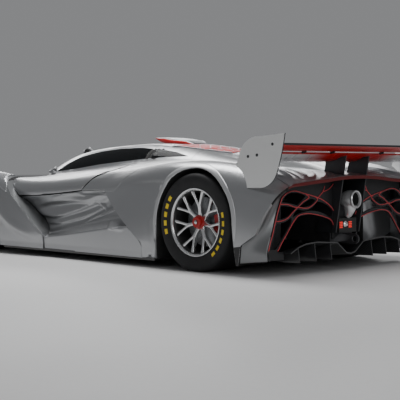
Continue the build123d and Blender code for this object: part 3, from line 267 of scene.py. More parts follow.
def disc_finish(name, axle_x, axle_z):
    """Cast iron disc: ground rings about the axle and rows of drilled dots."""
    finish = Finish(name, metallic=0.9, roughness=0.4)
    compute = finish.compute
    ring = finish.group(RING, Axle_X=axle_x, Axle_Z=axle_z)
    rings, rows = (compute("SINE", compute("MULTIPLY", ring["Radius"], rate)) for rate in (2400.0, 330.0))
    spread = compute("SINE", compute("ADD", compute("MULTIPLY", ring["Turn"], 2 * math.pi * 36),
                                     compute("MULTIPLY", ring["Radius"], 160.0)))
    holes = ramp_node(finish.tree, compute("MULTIPLY", rows, spread), 0.72, 0.8)
    finish.colour(finish.mix(holes, (0.32, 0.33, 0.34), (0.02, 0.02, 0.02)))
    finish.roughen(rings, 0.3, 0.45)
    finish.bump(rings, 0.0002, 0.2)
    return finish


def tyre_finish(name, axle_x, axle_z):
    """Slick rubber: matt, with fine rings moulded about the axle and a black that changes slowly."""
    finish = Finish(name, roughness=0.72, specular=0.35)
    ring = finish.group(RING, Axle_X=axle_x, Axle_Z=axle_z)
    grain = finish.group(GRAIN, Fine_Scale=260.0, Broad_Scale=9.0)
    rings = finish.compute("SINE", finish.compute("MULTIPLY", ring["Radius"], 900.0))
    finish.colour(finish.mix(grain["Broad"], (0.012, 0.012, 0.013), (0.03, 0.03, 0.031)))
    finish.roughen(grain["Fine"], 0.62, 0.8)
    finish.bump(finish.compute("ADD", rings, grain["Fine"]), 0.0004, 0.35)
    return finish


def wing_finish():
    """Red wing whose underside turns silver towards its ends."""
    finish = Finish("wing_red", roughness=0.38, coat=0.15, coat_roughness=0.2)
    grain = finish.group(GRAIN, Fine_Scale=1200.0, Broad_Scale=4.0)
    place = vector_parts(finish.tree, finish.place)
    outboard = ramp_node(finish.tree, finish.compute("ABSOLUTE", place["Y"]), 0.28, 0.62)
    below = ramp_node(finish.tree, place["Z"], 0.843, 0.836)
    red = finish.mix(grain["Fine"], (0.42, 0.008, 0.008), (0.55, 0.014, 0.012))
    silver = finish.mix(grain["Fine"], (0.52, 0.52, 0.53), (0.62, 0.62, 0.63))
    finish.colour(finish.mix(finish.compute("MULTIPLY", outboard, below), red, silver))
    finish.roughen(grain["Broad"], 0.22, 0.34)
    finish.bump(grain["Fine"], 0.0001, 0.1)
    return finish


def fabric_finish():
    finish = Finish("seat_cloth", roughness=0.85)
    weave = finish.group(TWILL, Strands_per_Metre=420.0)
    finish.colour(finish.mix(weave["Shade"], (0.02, 0.02, 0.022), (0.07, 0.07, 0.075)))
    finish.bump(weave["Height"], 0.0006, 0.5)
    return finish


SILVER = grained("silver_metallic", (0.36, 0.365, 0.375), (0.45, 0.455, 0.465), fine=2600.0, broad=2.0,
                 distance=0.00006, rough=(0.29, 0.36), strength=0.1, metallic=0.92, coat=0.25, coat_roughness=0.16)
# Body silver lightened for the arch flanges: a painted highlight
LIT_BAND_SILVER = grained("band_silver_painted_highlight", (0.52, 0.525, 0.535), (0.60, 0.605, 0.615), fine=2000.0, broad=3.0,
                      distance=0.00005, rough=(0.3, 0.38), strength=0.1, metallic=0.7)
BRIGHT_SILVER = grained("bright_silver", (0.33, 0.335, 0.35), (0.43, 0.435, 0.45), fine=2200.0, broad=3.0,
                        distance=0.00005, rough=(0.32, 0.40), strength=0.1, metallic=0.85)
# Red darkened as painted shade, for the backward faces at the rear deck's edge
SHADED_RED = grained("red_with_painted_shade", (0.10, 0.004, 0.004), (0.16, 0.006, 0.006), fine=1200.0, rough=(0.45, 0.55))
# Grey of the rear corner panels; on the nose's sloping faces behind the front wings it is painted shade over silver
# paint
CORNER_GREY_AND_SHADE = grained("corner_grey_and_painted_shade", (0.19, 0.195, 0.20), (0.26, 0.265, 0.27), fine=1500.0, broad=3.0,
                      distance=0.00005, rough=(0.3, 0.4), strength=0.1, metallic=0.8)
LED_RED = grained("led_red", (0.8, 0.03, 0.02), (1.0, 0.08, 0.06), fine=400.0, rough=(0.15, 0.25), coat=0.5)
LED_RED.shader.inputs["Emission Color"].default_value = (1.0, 0.05, 0.03, 1.0)
LED_RED.shader.inputs["Emission Strength"].default_value = 0.6
PLATE_GREY = grained("satin_plate", (0.74, 0.745, 0.74), (0.82, 0.825, 0.82), fine=700.0, distance=0.0001,
                     rough=(0.4, 0.5), metallic=0.3)
DARK_PLATE = grained("dark_anodised", (0.030, 0.032, 0.035), (0.052, 0.055, 0.060), fine=800.0, rough=(0.3, 0.42),
                     metallic=0.4)
# Black moulding; on the rear fenders' feet it is a painted shadow
BLACK_PANEL_AND_SHADOW = grained("black_moulding_and_painted_shadow", (0.010, 0.010, 0.011), (0.024, 0.024, 0.026), fine=500.0,
                      rough=(0.35, 0.55))
# Black lining of the wheel wells and the panels' insides; on the rear fenders' feet and in the roof scoop's mouth
# it is painted shade
BLACK_LINING_AND_SHADE = grained("arch_lining_and_painted_shade", (0.006, 0.006, 0.006), (0.016, 0.016, 0.016), fine=120.0, rough=(0.75, 0.9),
                       distance=0.001)
RED = grained("gloss_red", (0.36, 0.006, 0.006), (0.5, 0.012, 0.010), fine=1500.0, distance=0.00005,
              rough=(0.3, 0.4), strength=0.1, coat=0.2, coat_roughness=0.15)
PIPING = grained("red_piping", (0.55, 0.05, 0.06), (0.72, 0.09, 0.10), fine=600.0, distance=0.0001,
                 rough=(0.35, 0.45))
STEEL = grained("brushed_steel", (0.62, 0.62, 0.63), (0.78, 0.78, 0.79), fine=500.0, distance=0.0002,
                rough=(0.26, 0.38), metallic=0.65)
GRILLE_RED = grained("grille_red", (0.40, 0.010, 0.010), (0.52, 0.016, 0.014), fine=900.0, rough=(0.5, 0.6),
                     specular=0.2)
BRIGHT = grained("polished_metal", (0.70, 0.70, 0.71), (0.82, 0.82, 0.83), fine=300.0, distance=0.0001,
                 rough=(0.12, 0.22), metallic=1.0)
RIM_SILVER = grained("rim_silver", (0.66, 0.665, 0.67), (0.78, 0.785, 0.79), fine=900.0, distance=0.0001,
                     rough=(0.2, 0.3), metallic=0.95)
ENGINE_METAL = grained("cast_alloy", (0.06, 0.06, 0.065), (0.11, 0.11, 0.115), fine=220.0, distance=0.0008,
                       rough=(0.45, 0.65), metallic=0.8)
UPRIGHT_METAL = grained("forged_alloy", (0.10, 0.10, 0.105), (0.18, 0.18, 0.185), fine=300.0, rough=(0.4, 0.55),
                        metallic=0.85)
LAMP_CLEAR = grained("lamp_glass", (0.35, 0.37, 0.39), (0.5, 0.52, 0.54), fine=60.0, distance=0.0004,
                     rough=(0.08, 0.16), coat=1.0)
YELLOW = grained("yellow_mark", (0.78, 0.55, 0.01), (0.9, 0.66, 0.02), fine=500.0, rough=(0.5, 0.65))
BLACK_PLASTIC = grained("grip_plastic", (0.012, 0.012, 0.012), (0.03, 0.03, 0.03), fine=700.0,
                        rough=(0.5, 0.65))
CARBON = carbon_finish()
GLASS = glass_finish()
WING_RED = wing_finish()
SEAT_CLOTH = fabric_finish()


# Making meshes


WELD, CAD_WELD = 1e-6, 2e-5


def linked(name, data):
    """Object with the given data, in the scene."""
    item = bpy.data.objects.new(name, data)
    bpy.context.scene.collection.objects.link(item)
    return item


def new_piece(name, vertices, faces, finish, slot, body="chassis", smooth=True):
    """Object from arrays, on its body, with its finish's material; the slot is not used."""
    mesh = bpy.data.meshes.new(name)
    mesh.from_pydata(np.asarray(vertices, float).reshape(-1, 3).tolist(), [],
                     [tuple(int(i) for i in f) for f in faces])
    piece = linked(name, mesh)
    mesh.materials.append(finish.material)
    mesh.polygons.foreach_set("use_smooth", np.full(len(mesh.polygons), smooth))
    if smooth:
        mesh.set_sharp_from_angle(angle=math.radians(38))
    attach(piece, body)
    return piece


def shade_smooth(piece, sharp):
    """Smooth shading up to an edge angle."""
    piece.data.polygons.foreach_set("use_smooth", np.full(len(piece.data.polygons), True))
    piece.data.set_sharp_from_angle(angle=math.radians(sharp))
    return piece


def closed_piece(name, arrays, finish, slot, body="chassis", sharp=60):
    """Closed piece from (vertices, faces), its faces turned outwards, smooth up to an edge angle; flat with
    none."""
    piece = new_piece(name, *arrays, finish, slot, body, smooth=sharp is not None)
    mesh = bmesh.new()
    mesh.from_mesh(piece.data)
    bmesh.ops.remove_doubles(mesh, verts=mesh.verts, dist=WELD)
    bmesh.ops.recalc_face_normals(mesh, faces=mesh.faces)
    mesh.to_mesh(piece.data)
    mesh.free()
    return piece if sharp is None else shade_smooth(piece, sharp)


def points_at(x, y, z):
    """Points from three arrays or numbers, spread over each other's shape."""
    return np.stack(np.broadcast_arrays(x, y, z), -1)


def lattice(rows, columns):
    """Two grids of numbers, each a (start, stop, count): one changes down the rows, the other along them."""
    return np.meshgrid(np.linspace(*rows), np.linspace(*columns), indexing="ij")


def grid_faces(rows, columns, close_rows=False, close_columns=False):
    """Quads of a grid of points stored row by row, closed round either way."""
    r = np.arange(rows if close_rows else rows - 1)
    c = np.arange(columns if close_columns else columns - 1)
    r, c = np.meshgrid(r, c, indexing="ij")
    r2, c2 = (r + 1) % rows, (c + 1) % columns
    return np.stack([r * columns + c, r * columns + c2, r2 * columns + c2, r2 * columns + c], -1).reshape(-1, 4)


def joined_arrays(parts):
    """Several (vertices, faces) as one."""
    vertices, faces, offset = [], [], 0
    for points, quads in parts:
        points = np.asarray(points, float).reshape(-1, 3)
        vertices.append(points)
        faces.extend([tuple(i + offset for i in f) for f in quads])
        offset += len(points)
    return np.concatenate(vertices), faces


def unit(vectors):
    """Vectors of length 1 along the last axis."""
    return vectors / np.linalg.norm(vectors, axis=-1, keepdims=True)


def turned_points(centre, profile, segments=160, start=0.0, sweep=2 * math.pi, axis=None):
    """Surface of revolution: each profile point (along, radius) goes round a line through the centre. With no axis
    given the line runs across the car, and along is the distance left."""
    whole = sweep > 2 * math.pi - 1e-6
    angle = start + sweep * np.arange(segments) / (segments if whole else segments - 1)
    profile = np.asarray(profile, float)
    if axis is None:
        aim, first, second = np.eye(3)[[1, 0, 2]]
        origin = np.array(centre, float) * [1.0, 0.0, 1.0]
    else:
        aim = unit(np.array(axis, float))
        first = unit(np.cross(aim, [0.0, 0.0, 1.0]))
        second = np.cross(first, aim)
        origin = np.array(centre, float)
    round_it = np.cos(angle)[:, None, None] * first + np.sin(angle)[:, None, None] * second
    return origin + profile[None, :, :1] * aim + profile[None, :, 1:] * round_it


def turned_piece(name, centre, profile, finish, slot, body="chassis", segments=48, axis=None):
    """Closed piece turned about an axis, the axle's way unless given: a profile from the axis out and back to
    it."""
    points = turned_points(centre, profile, segments, axis=axis)
    faces = grid_faces(segments, len(profile), close_rows=True)
    return closed_piece(name, (points, faces), finish, slot, body, sharp=35)


TUBE_UP = (0.31, 0.17, 0.93)  # A direction that no tube runs along


def smooth_path(points, per_span=10):
    """Curve through the points by the Catmull-Rom formula, which blends each span's ends and their neighbours."""
    p = np.asarray(points, float)
    p = np.concatenate([[2 * p[0] - p[1]], p, [2 * p[-1] - p[-2]]])
    t = np.linspace(0, 1, per_span, endpoint=False)[None, :, None]
    a, b, c, d = (p[i:len(p) - 3 + i, None, :] for i in range(4))
    spans = 0.5 * (2 * b + (c - a) * t + (2 * a - 5 * b + 4 * c - d) * t ** 2 + (3 * b - a - 3 * c + d) * t ** 3)
    return np.concatenate([spans.reshape(-1, p.shape[1]), p[-2:-1]])


def capped_rings(rings, path):
    """Closed tube over rings of points, each end closed to an end of the path."""
    count, sides = rings.shape[:2]
    faces = [tuple(f) for f in grid_faces(count, sides, close_columns=True)]
    start, last = count * sides, (count - 1) * sides
    for k in range(sides):
        faces.append((start, (k + 1) % sides, k))
        faces.append((start + 1, last + k, last + (k + 1) % sides))
    return np.concatenate([rings.reshape(-1, 3), path[:1], path[-1:]]), faces


def tube_points(path, radius, sides=10):
    """Circles carried along a path, square to it, with both ends closed to a point."""
    path = np.asarray(path, float)
    run = unit(np.gradient(path, axis=0))
    first = unit(np.cross(run, TUBE_UP))
    second = np.cross(run, first)
    angle = 2 * math.pi * np.arange(sides) / sides
    radii = np.full(len(path), radius)
    rings = path[:, None] + radii[:, None, None] * (
        np.cos(angle)[None, :, None] * first[:, None] + np.sin(angle)[None, :, None] * second[:, None])
    return capped_rings(rings, path)


def merged_copy(node, name, finishes, sharp=32.0):
    """Copy of a CAD node with its loose triangles merged and smooth, in place of the node. The first finish covers
    it."""
    source = frame["nodes"][node]
    mesh = bmesh.new()
    mesh.from_mesh(source.data)
    bmesh.ops.remove_doubles(mesh, verts=mesh.verts, dist=CAD_WELD)
    bmesh.ops.dissolve_degenerate(mesh, edges=mesh.edges, dist=WELD)
    data = bpy.data.meshes.new(name)
    mesh.to_mesh(data)
    mesh.free()
    piece = linked(name, data)
    data.materials.clear()
    for finish in finishes:
        data.materials.append(finish.material)
    data.polygons.foreach_set("material_index", np.zeros(len(data.polygons), np.int32))
    shade_smooth(piece, sharp)
    piece.modifiers.new("even_shading", "WEIGHTED_NORMAL").keep_sharp = True
    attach(piece, source["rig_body"])
    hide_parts(node)
    return piece


def face_arrays(piece):
    """Centres and normals of a piece's faces."""
    count = len(piece.data.polygons)
    centre, normal = np.zeros(count * 3), np.zeros(count * 3)
    piece.data.polygons.foreach_get("center", centre)
    piece.data.polygons.foreach_get("normal", normal)
    return centre.reshape(-1, 3), normal.reshape(-1, 3)


def set_finish(piece, *masks):
    """Gives each mask's faces the piece's next finish after the first; a later mask wins."""
    index = np.zeros(len(piece.data.polygons), np.int32)
    for number, mask in enumerate(masks, 1):
        index[mask] = number
    piece.data.polygons.foreach_set("material_index", index)


def plain(node, finish):
    """Finish of a CAD node that stays as it is."""
    materials = frame["nodes"][node].data.materials
    materials.clear()
    materials.append(finish.material)


# Places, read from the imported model


def wheel_place(name):
    """Centre, outer face, radius and width of a tyre, from its box."""
    low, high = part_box(name)
    centre = (low + high) / 2
    outer = high.y if centre.y > 0 else low.y
    return np.array(centre), outer, (high.z - low.z) / 2, abs(high.y - low.y)


WHEELS = [
    (f"{end}_tyre_{side}", f"{end}_rim_{side}", f"{end}_disc_{side}", f"{end}_wheel_{side}", sign)
    for end in ("front", "rear") for side, sign in SIDES
]
REAR_CENTRE, _, REAR_RADIUS, _ = wheel_place("rear_tyre_left")
FRONT_CENTRE, _, FRONT_RADIUS, _ = wheel_place("front_tyre_left")
FRONT_WELL_RADIUS = FRONT_RADIUS + 0.016
REAR_WELL_RADIUS = REAR_RADIUS + 0.032
STEER_SHIFT = 0.045  # The front wells are drawn out lengthwise by this much each way
WELL_INNER_Y = 0.527


def inside_well(centre):
    """Mask of the faces that line a wheel well: the arch, and its upright walls below the axle."""
    mask = np.zeros(len(centre), bool)
    aside = np.abs(centre[:, 1]) > WELL_INNER_Y - 0.01
    for place, radius, shift in ((REAR_CENTRE, REAR_WELL_RADIUS, 0.0),
                                 (FRONT_CENTRE, FRONT_WELL_RADIUS, STEER_SHIFT)):
        along = np.maximum(np.abs(centre[:, 0] - place[0]) - shift, 0.0)
        above = np.maximum(centre[:, 2] - place[2], 0.0)
        mask |= (np.hypot(along, above) < radius + 0.003) & aside
    return mask


def facing_in(centre, normal):
    """Mask of the faces that look towards the car's length axis."""
    out = centre * [0.0, 1.0, 1.0]
    out /= np.linalg.norm(out, axis=1)[:, None] + 1e-9
    return (normal * out).sum(1) < -0.25


# Panels


def seam_x(z, table):
    """Length position of a body seam at a height, from its table of (height, length) points."""
    table = np.array(table)
    return np.interp(z, table[:, 0], table[:, 1])


NOSE_SEAM = ((0.060, 0.345), (0.185, 0.345), (0.488, 0.767), (0.560, 0.860))
REAR_SEAM = ((0.060, -0.950), (0.100, -0.930), (0.240, -0.820), (0.320, -0.720), (0.400, -0.620), (0.440, -0.520),
             (0.520, -0.420), (0.560, -0.230))


def dropped(points, target, axis, direction):
    """Grid moved along one axis until it lands on a piece, by Shrinkwrap's projection, and where it landed."""
    grid = np.asarray(points, float)
    mesh = bpy.data.meshes.new("probe")
    mesh.from_pydata(grid.reshape(-1, 3).tolist(), [], [])
    probe = linked("probe", mesh)
    wrap = probe.modifiers.new("drop", "SHRINKWRAP")
    wrap.wrap_method = "PROJECT"
    wrap.target = target
    setattr(wrap, "use_project_" + axis, True)
    wrap.use_positive_direction = direction > 0
    wrap.use_negative_direction = direction < 0
    bpy.context.view_layer.update()
    landed = np.empty(grid.size)
    probe.evaluated_get(bpy.context.evaluated_depsgraph_get()).data.vertices.foreach_get("co", landed)
    bpy.data.objects.remove(probe)
    bpy.data.meshes.remove(mesh)
    landed = landed.reshape(grid.shape)
    return landed, np.abs(landed - grid).max(-1) > 1e-6
def from_side(length, height, target, sign):
    """Grid dropped on a piece from beside the car."""
    return dropped(points_at(length, sign * FAR, height), target, "y", -sign)


def from_above(length, across, target):
    """Grid dropped on a piece from above the car."""
    return dropped(points_at(length, across, FAR), target, "z", -1)


def blurred(grid, axis):
    """Each number of a grid with its two neighbours along an axis, added up by weights 1, 2, 1."""
    padded = np.pad(grid, [(1, 1) if a == axis else (0, 0) for a in (0, 1)], "edge")
    before, here, after = (np.take(padded, np.arange(k, k + grid.shape[axis]), axis) for k in range(3))
    return before + 2 * here + after


def smoothed(values, valid, rounds=2):
    """Grid of numbers averaged with its neighbours both ways; places that never landed count for nothing."""
    weight = valid.astype(float)
    values = np.where(valid, values, 0.0)
    for _ in range(rounds):
        for axis in (0, 1):
            total = np.maximum(blurred(weight, axis), 1e-9)
            values = np.where(weight > 0, blurred(values * weight, axis) / total, 0.0)
    return values


def skin(name, points, outward, valid=None, finishes=(SILVER,), slot="silver_paint", thickness=0.0015,
         longest=0.05):
    """Thin panel over a grid of points: cells with a corner that never landed, or with a step in them, are left
    out."""
    valid = np.ones(points.shape[:2], bool) if valid is None else valid
    flat, landed = points.reshape(-1, 3), valid.reshape(-1)
    faces = grid_faces(*valid.shape)
    corners = flat[faces]
    step = np.linalg.norm(corners - np.roll(corners, 1, axis=1), axis=2).max(1)
    faces = faces[landed[faces].all(1) & (step < longest)]
    used, index = np.unique(faces, return_inverse=True)
    faces = index.reshape(faces.shape)
    flat = flat[used]
    across = np.cross(flat[faces[:, 2]] - flat[faces[:, 0]], flat[faces[:, 3]] - flat[faces[:, 1]])
    if (across.sum(0) * np.asarray(outward)).sum() < 0:
        faces = faces[:, ::-1]
    piece = new_piece(name, flat, faces, finishes[0], slot)
    for finish in finishes[1:]:
        piece.data.materials.append(finish.material)
    wall = piece.modifiers.new("wall", "SOLIDIFY")
    wall.thickness = thickness
    wall.offset = -1.0
    return piece


def side_skin(name, sign, target, length, height, lift, thickness=0.0015):
    """Skin on one side of a panel: its own smoothed surface, lifted outwards by a grid of distances."""
    points, valid = from_side(length, np.maximum(height, SILL_PROBE), target, sign)
    points[..., 2] = height
    points[..., 1] = smoothed(points[..., 1], valid) + sign * lift
    skin(name, points, (0, sign, 0), valid, thickness=thickness)


def ridge(across, along, line, height, above, below):
    """Dune along a curve on a panel: height x exp(-(distance / width)^2), one width above the curve and another
    below, faded to its ends by a sine."""
    path = smooth_path(np.array(line, float) * MILLIMETRE, 12)
    run = unit(np.gradient(path, axis=0))
    offset_x, offset_z = across[..., None] - path[:, 0], along[..., None] - path[:, 1]
    nearest = np.argmin(offset_x ** 2 + offset_z ** 2, axis=-1)
    dx, dz = across - path[nearest, 0], along - path[nearest, 1]
    over = run[nearest, 0] * dz - run[nearest, 1] * dx
    over = np.where(run[nearest, 0] < 0, -over, over)
    width = np.where(over > 0, above, below) * MILLIMETRE
    fade = np.sin(math.pi * np.clip(nearest / (len(path) - 1), 0.02, 0.98)) ** 0.5
    return height * MILLIMETRE * fade * np.exp(-(dx ** 2 + dz ** 2) / width ** 2)


def relief(across, along, ridges):
    """All dunes of a table added up."""
    return sum(ridge(across, along, line, *sizes) for *sizes, line in ridges)


def within(values, low, high):
    """Mask of the values between two limits."""
    return (values > low) & (values < high)


def faded(values, margin):
    """Share that rises from 0 to 1 over a margin and stays there."""
    return np.clip(values / margin, 0, 1)


# Dunes pressed into the side pods, as (height, width above, width below, points (length, height)) in millimetres
POD_RIDGES = (
    (13, 26, 15, ((355, 499), (287, 520), (153, 536), (21, 541), (-82, 524))),
    (22, 52, 22, ((593, 421), (397, 456), (153, 474), (-107, 484), (-295, 537))),
    (30, 58, 20, ((665, 436), (565, 361), (453, 339), (288, 345), (22, 403), (-195, 466), (-381, 530))),
    (20, 46, 15, ((468, 283), (289, 282), (88, 318), (-106, 362), (-332, 445))),
    (17, 28, 8, ((-80, 300), (-232, 354), (-380, 403), (-501, 446))),
    (8, 20, 8, ((482, 180), (289, 206), (23, 259), (-232, 314), (-416, 348), (-572, 366))),
    (9, 14, 9, ((-195, 466), (-270, 444), (-331, 405))),
    (12, 22, 11, ((-416, 313), (-500, 284), (-653, 267))),
)
SILL_BOTTOM, POD_TOP, FLANK_TOP = 0.066, 0.556, 0.480
SILL_PROBE = 0.112  # Below this height the sill keeps its own width

# The swelling of the front wings' flanks, told in the same way
FLANK_RIDGES = ((13, 60, 34, ((990, 440), (970, 414), (896, 329), (749, 239), (533, 171), (390, 168))),)
FLANK_FRONT = ((0.06, 0.955), (0.2, 0.955), (0.33, 0.968), (0.48, 0.990))


def side_reliefs(pods, nose):
    """Pressed relief of the side pods, and the swelling of the front wings' flanks, each between two seams."""
    height, share = lattice((SILL_BOTTOM, POD_TOP, 112), (0.0, 1.0, 216))
    front, back = seam_x(height, NOSE_SEAM), seam_x(height, REAR_SEAM)
    length = front + (back - front) * share
    rim = faded(POD_TOP - 0.006 - height, 0.03) * faded(height - 0.09, 0.05)
    pod = length, height, 0.002 + 1.25 * relief(length, height, POD_RIDGES) * rim
    height, share = lattice((SILL_BOTTOM, FLANK_TOP, 96), (0.0, 1.0, 110))
    front, back = seam_x(height, FLANK_FRONT), seam_x(height, NOSE_SEAM) + 0.008
    length = back + (front - back) * share
    rim = faded(share, 0.06) * faded(1 - share, 0.08)
    flank = length, height, 0.0016 + relief(length, height, FLANK_RIDGES) * rim
    for side, sign in SIDES:
        side_skin(f"pod_relief_{side}", sign, pods, *pod)
        side_skin(f"wing_flank_{side}", sign, nose, *flank)


BAND_WIDTH = 0.036
BAND_LIFT = 0.0035


def arch_bands(rear, nose):
    """Flat flange round each wheel arch: a ring sector about the axle dropped on the panel, its outer edge
    rolled. Its lighter silver is a painted highlight."""
    turn = np.radians(np.linspace(-38.0, 212.0, 260))[:, None]
    share = np.linspace(0.0, 1.0, 9)[None, :]
    lift = BAND_LIFT * np.sin(math.pi * np.clip(share * 1.05, 0, 1)) ** 0.4 + 0.001
    for end, target, centre, radius, shift in (
        ("rear", rear, REAR_CENTRE, REAR_WELL_RADIUS, 0.0),
        ("front", nose, FRONT_CENTRE, FRONT_WELL_RADIUS, STEER_SHIFT),
    ):
        reach = radius + 0.002 + BAND_WIDTH * share
        x = centre[0] + shift * np.tanh(6 * np.cos(turn)) + reach * np.cos(turn)
        z = centre[2] + reach * np.sin(turn)
        for side, sign in SIDES:
            points, valid = from_side(x, z, target, sign)
            points[..., 1] = smoothed(points[..., 1], valid, 1) + sign * lift
            valid &= (z > 0.085) & (np.abs(points[..., 1]) > 0.80)
            # The flange is lighter than the body's silver as a painted highlight
            skin(f"{end}_arch_band_{side}", points, (0, sign, 0), valid, (LIT_BAND_SILVER,), thickness=0.004)


# Rear edge of the front fenders' top, as (distance left, length)
FENDER_EDGE = ((0.50, 1.000), (0.68, 0.985), (0.83, 0.974), (0.887, 0.932), (0.910, 0.898), (0.945, 0.862))
FENDER_FRONT_X = 1.775
FENDER_RADIUS = 0.3455
FENDER_BLEND = 0.014


def front_fenders(nose):
    """Smooth tops over the front wheels: the higher of the nose's surface a and an arc b about the axle, drawn out
    lengthwise for the steering and turned down at its inner end, joined as (a + b + sqrt((a - b)^2 + k^2)) / 2."""
    share, width = lattice((0.0, 1.0, 116), (0.505, 0.943, 84))
    edge = seam_x(width, FENDER_EDGE)
    length = edge + (FENDER_FRONT_X - edge) * share
    reach = np.maximum(np.abs(length - FRONT_CENTRE[0]) - STEER_SHIFT, 0)
    arc = FRONT_CENTRE[2] + np.sqrt(np.maximum(FENDER_RADIUS ** 2 - reach ** 2, 0))
    arc = arc - 0.055 * faded(0.562 - width, 0.049) ** 2 - 0.20 * faded(0.520 - width, 0.015)
    for side, sign in SIDES:
        points, valid = from_above(length, sign * width, nose)
        height = np.where(valid, smoothed(points[..., 2], valid, 6), arc - 0.1)
        points[..., 0], points[..., 1] = length, sign * width
        points[..., 2] = (height + arc + np.sqrt((height - arc) ** 2 + FENDER_BLEND ** 2)) / 2 + 0.0008
        skin(f"front_fender_top_{side}", points, (0, 0, 1), thickness=0.003, longest=0.3)


LOUVRE_PROBE_X = 0.55
LOUVRE_SLATS = 7


def fender_louvres(nose):
    """Leaf-shaped dark vent on each front fender's rear slope, its slats a sawtooth of depth along the leaf."""
    along, across = lattice((0.0, 1.0, 90), (-1.0, 1.0, 15))
    y = 0.615 + 0.255 * along
    leaf = np.sin(math.pi * np.clip(along, 0.02, 0.98)) ** 0.6
    z = 0.652 - 1.2 * (y - 0.73) ** 2 + 0.011 * across * leaf
    slats = 0.0015 * ((along * LOUVRE_SLATS) % 1.0) * (1 - across ** 4)
    for side, sign in SIDES:
        points, valid = dropped(points_at(LOUVRE_PROBE_X, sign * y, z), nose, "x", 1)
        valid &= within(points[..., 0], 0.85, 1.1)
        points[..., 0] -= 0.0012 + slats
        points[..., 2] += 0.0012
        skin(f"wing_louvres_{side}", points, (-1, 0, 1), valid, (BLACK_PANEL_AND_SHADOW,), "black_panel", longest=0.02)


# Ridges that flow back over the rear deck, as (height, widths, points (length, distance left)) in millimetres
DECK_RIDGES = (
    (15, 34, 16, ((-1800, 560), (-1933, 600), (-2050, 640), (-2150, 690))),
    (9, 16, 9, ((-1790, 470), (-1900, 520), (-2020, 560), (-2160, 610))),
    (8, 14, 8, ((-1830, 270), (-1920, 345), (-2050, 430), (-2170, 580))),
    (17, 40, 18, ((-1780, 330), (-1851, 402), (-1980, 442), (-2145, 518))),
    (14, 30, 14, ((-1850, 210), (-1967, 278), (-2104, 400), (-2183, 520))),
    (13, 24, 12, ((-1880, 150), (-2063, 235), (-2162, 340), (-2195, 420))),
    (10, 18, 10, ((-1960, 130), (-2120, 200), (-2180, 270))),
)


DECK_FRONT_X, DECK_REAR_X = -1.72, -2.206


def deck_reliefs(rear):
    """Flowing ridges of the rear deck, added to its smoothed surface and faded at its edges."""
    length, width = lattice((DECK_FRONT_X, DECK_REAR_X, 104), (0.10, 0.80, 108))
    rim = faded(length - DECK_REAR_X, 0.03) * faded(DECK_FRONT_X - 0.01 - length, 0.06)
    rim *= faded(width - 0.12, 0.04) * faded(0.78 - width, 0.05)
    lift = 0.0015 + relief(length, width, DECK_RIDGES) * rim
    for side, sign in SIDES:
        points, valid = from_above(length, sign * width, rear)
        points[..., 2] = smoothed(points[..., 2], valid, 8) + lift
        skin(f"deck_relief_{side}", points, (0, 0, 1), valid, (BRIGHT_SILVER,), longest=0.03)


# Door's rear edge, as (height, length), and how far the door stands out over the haunch there
DOOR_EDGE = ((0.560, -0.062), (0.580, -0.084), (0.600, -0.108), (0.620, -0.130), (0.640, -0.152), (0.660, -0.180),
             (0.680, -0.212), (0.700, -0.255), (0.720, -0.300), (0.740, -0.345))
DOOR_STEP = ((0.560, 0.008), (0.600, 0.015), (0.640, 0.026), (0.660, 0.028), (0.700, 0.020), (0.735, 0.0))


HAUNCH_LENGTH, HAUNCH_FADE = 0.42, 0.16


def haunches(rear):
    """Haunches brought up flush with the doors: the rear shell's surface raised by the door's step at its edge,
    which fades as exp(-(distance / HAUNCH_FADE)^2) towards the tail."""
    height, share = lattice((0.558, 0.735, 48), (0.0, 1.0, 84))
    away = HAUNCH_LENGTH * share
    length = seam_x(height, DOOR_EDGE) - 0.005 - away
    raised = seam_x(height, DOOR_STEP) * np.exp(-(away / HAUNCH_FADE) ** 2)
    lift = 0.0012 + raised * (1 - share ** 4)
    for side, sign in SIDES:
        side_skin(f"haunch_{side}", sign, rear, length, height, lift, thickness=0.005)


# Size of the painted shadow patches on the rear fenders' feet
FOOT_FRONT_X, FOOT_LENGTH = -1.8385, 0.080
FOOT_TOP, FOOT_RISE, FOOT_BOTTOM = 0.196, 0.012, 0.074


def painted_foot_shadows(rear):
    """Painted shadow: black patches on the lower corners behind the rear wheels, below where the painted fender
    ends.
    """
    share, fall = lattice((0.0, 1.0, 30), (0.0, 1.0, 30))
    top = FOOT_TOP + FOOT_RISE * share
    length, height = FOOT_FRONT_X - FOOT_LENGTH * share, top + (FOOT_BOTTOM - top) * fall
    for side, sign in SIDES:
        points, valid = from_side(length, height, rear, sign)
        points[..., 1] += sign * 0.0012
        valid &= np.abs(points[..., 1]) > 0.9
        skin(f"fender_foot_shadow_{side}", points, (0, sign, 0), valid, (BLACK_PANEL_AND_SHADOW,), "black_panel")


GRILLE_ROWS, GRILLE_COLUMNS = 121, 81
GRILLE_FRONT_X, GRILLE_LENGTH, GRILLE_LOWEST = -0.600, 0.490, 0.78
GRILLE_RIB, GRILLE_RAIL = 0.0022, 0.0045


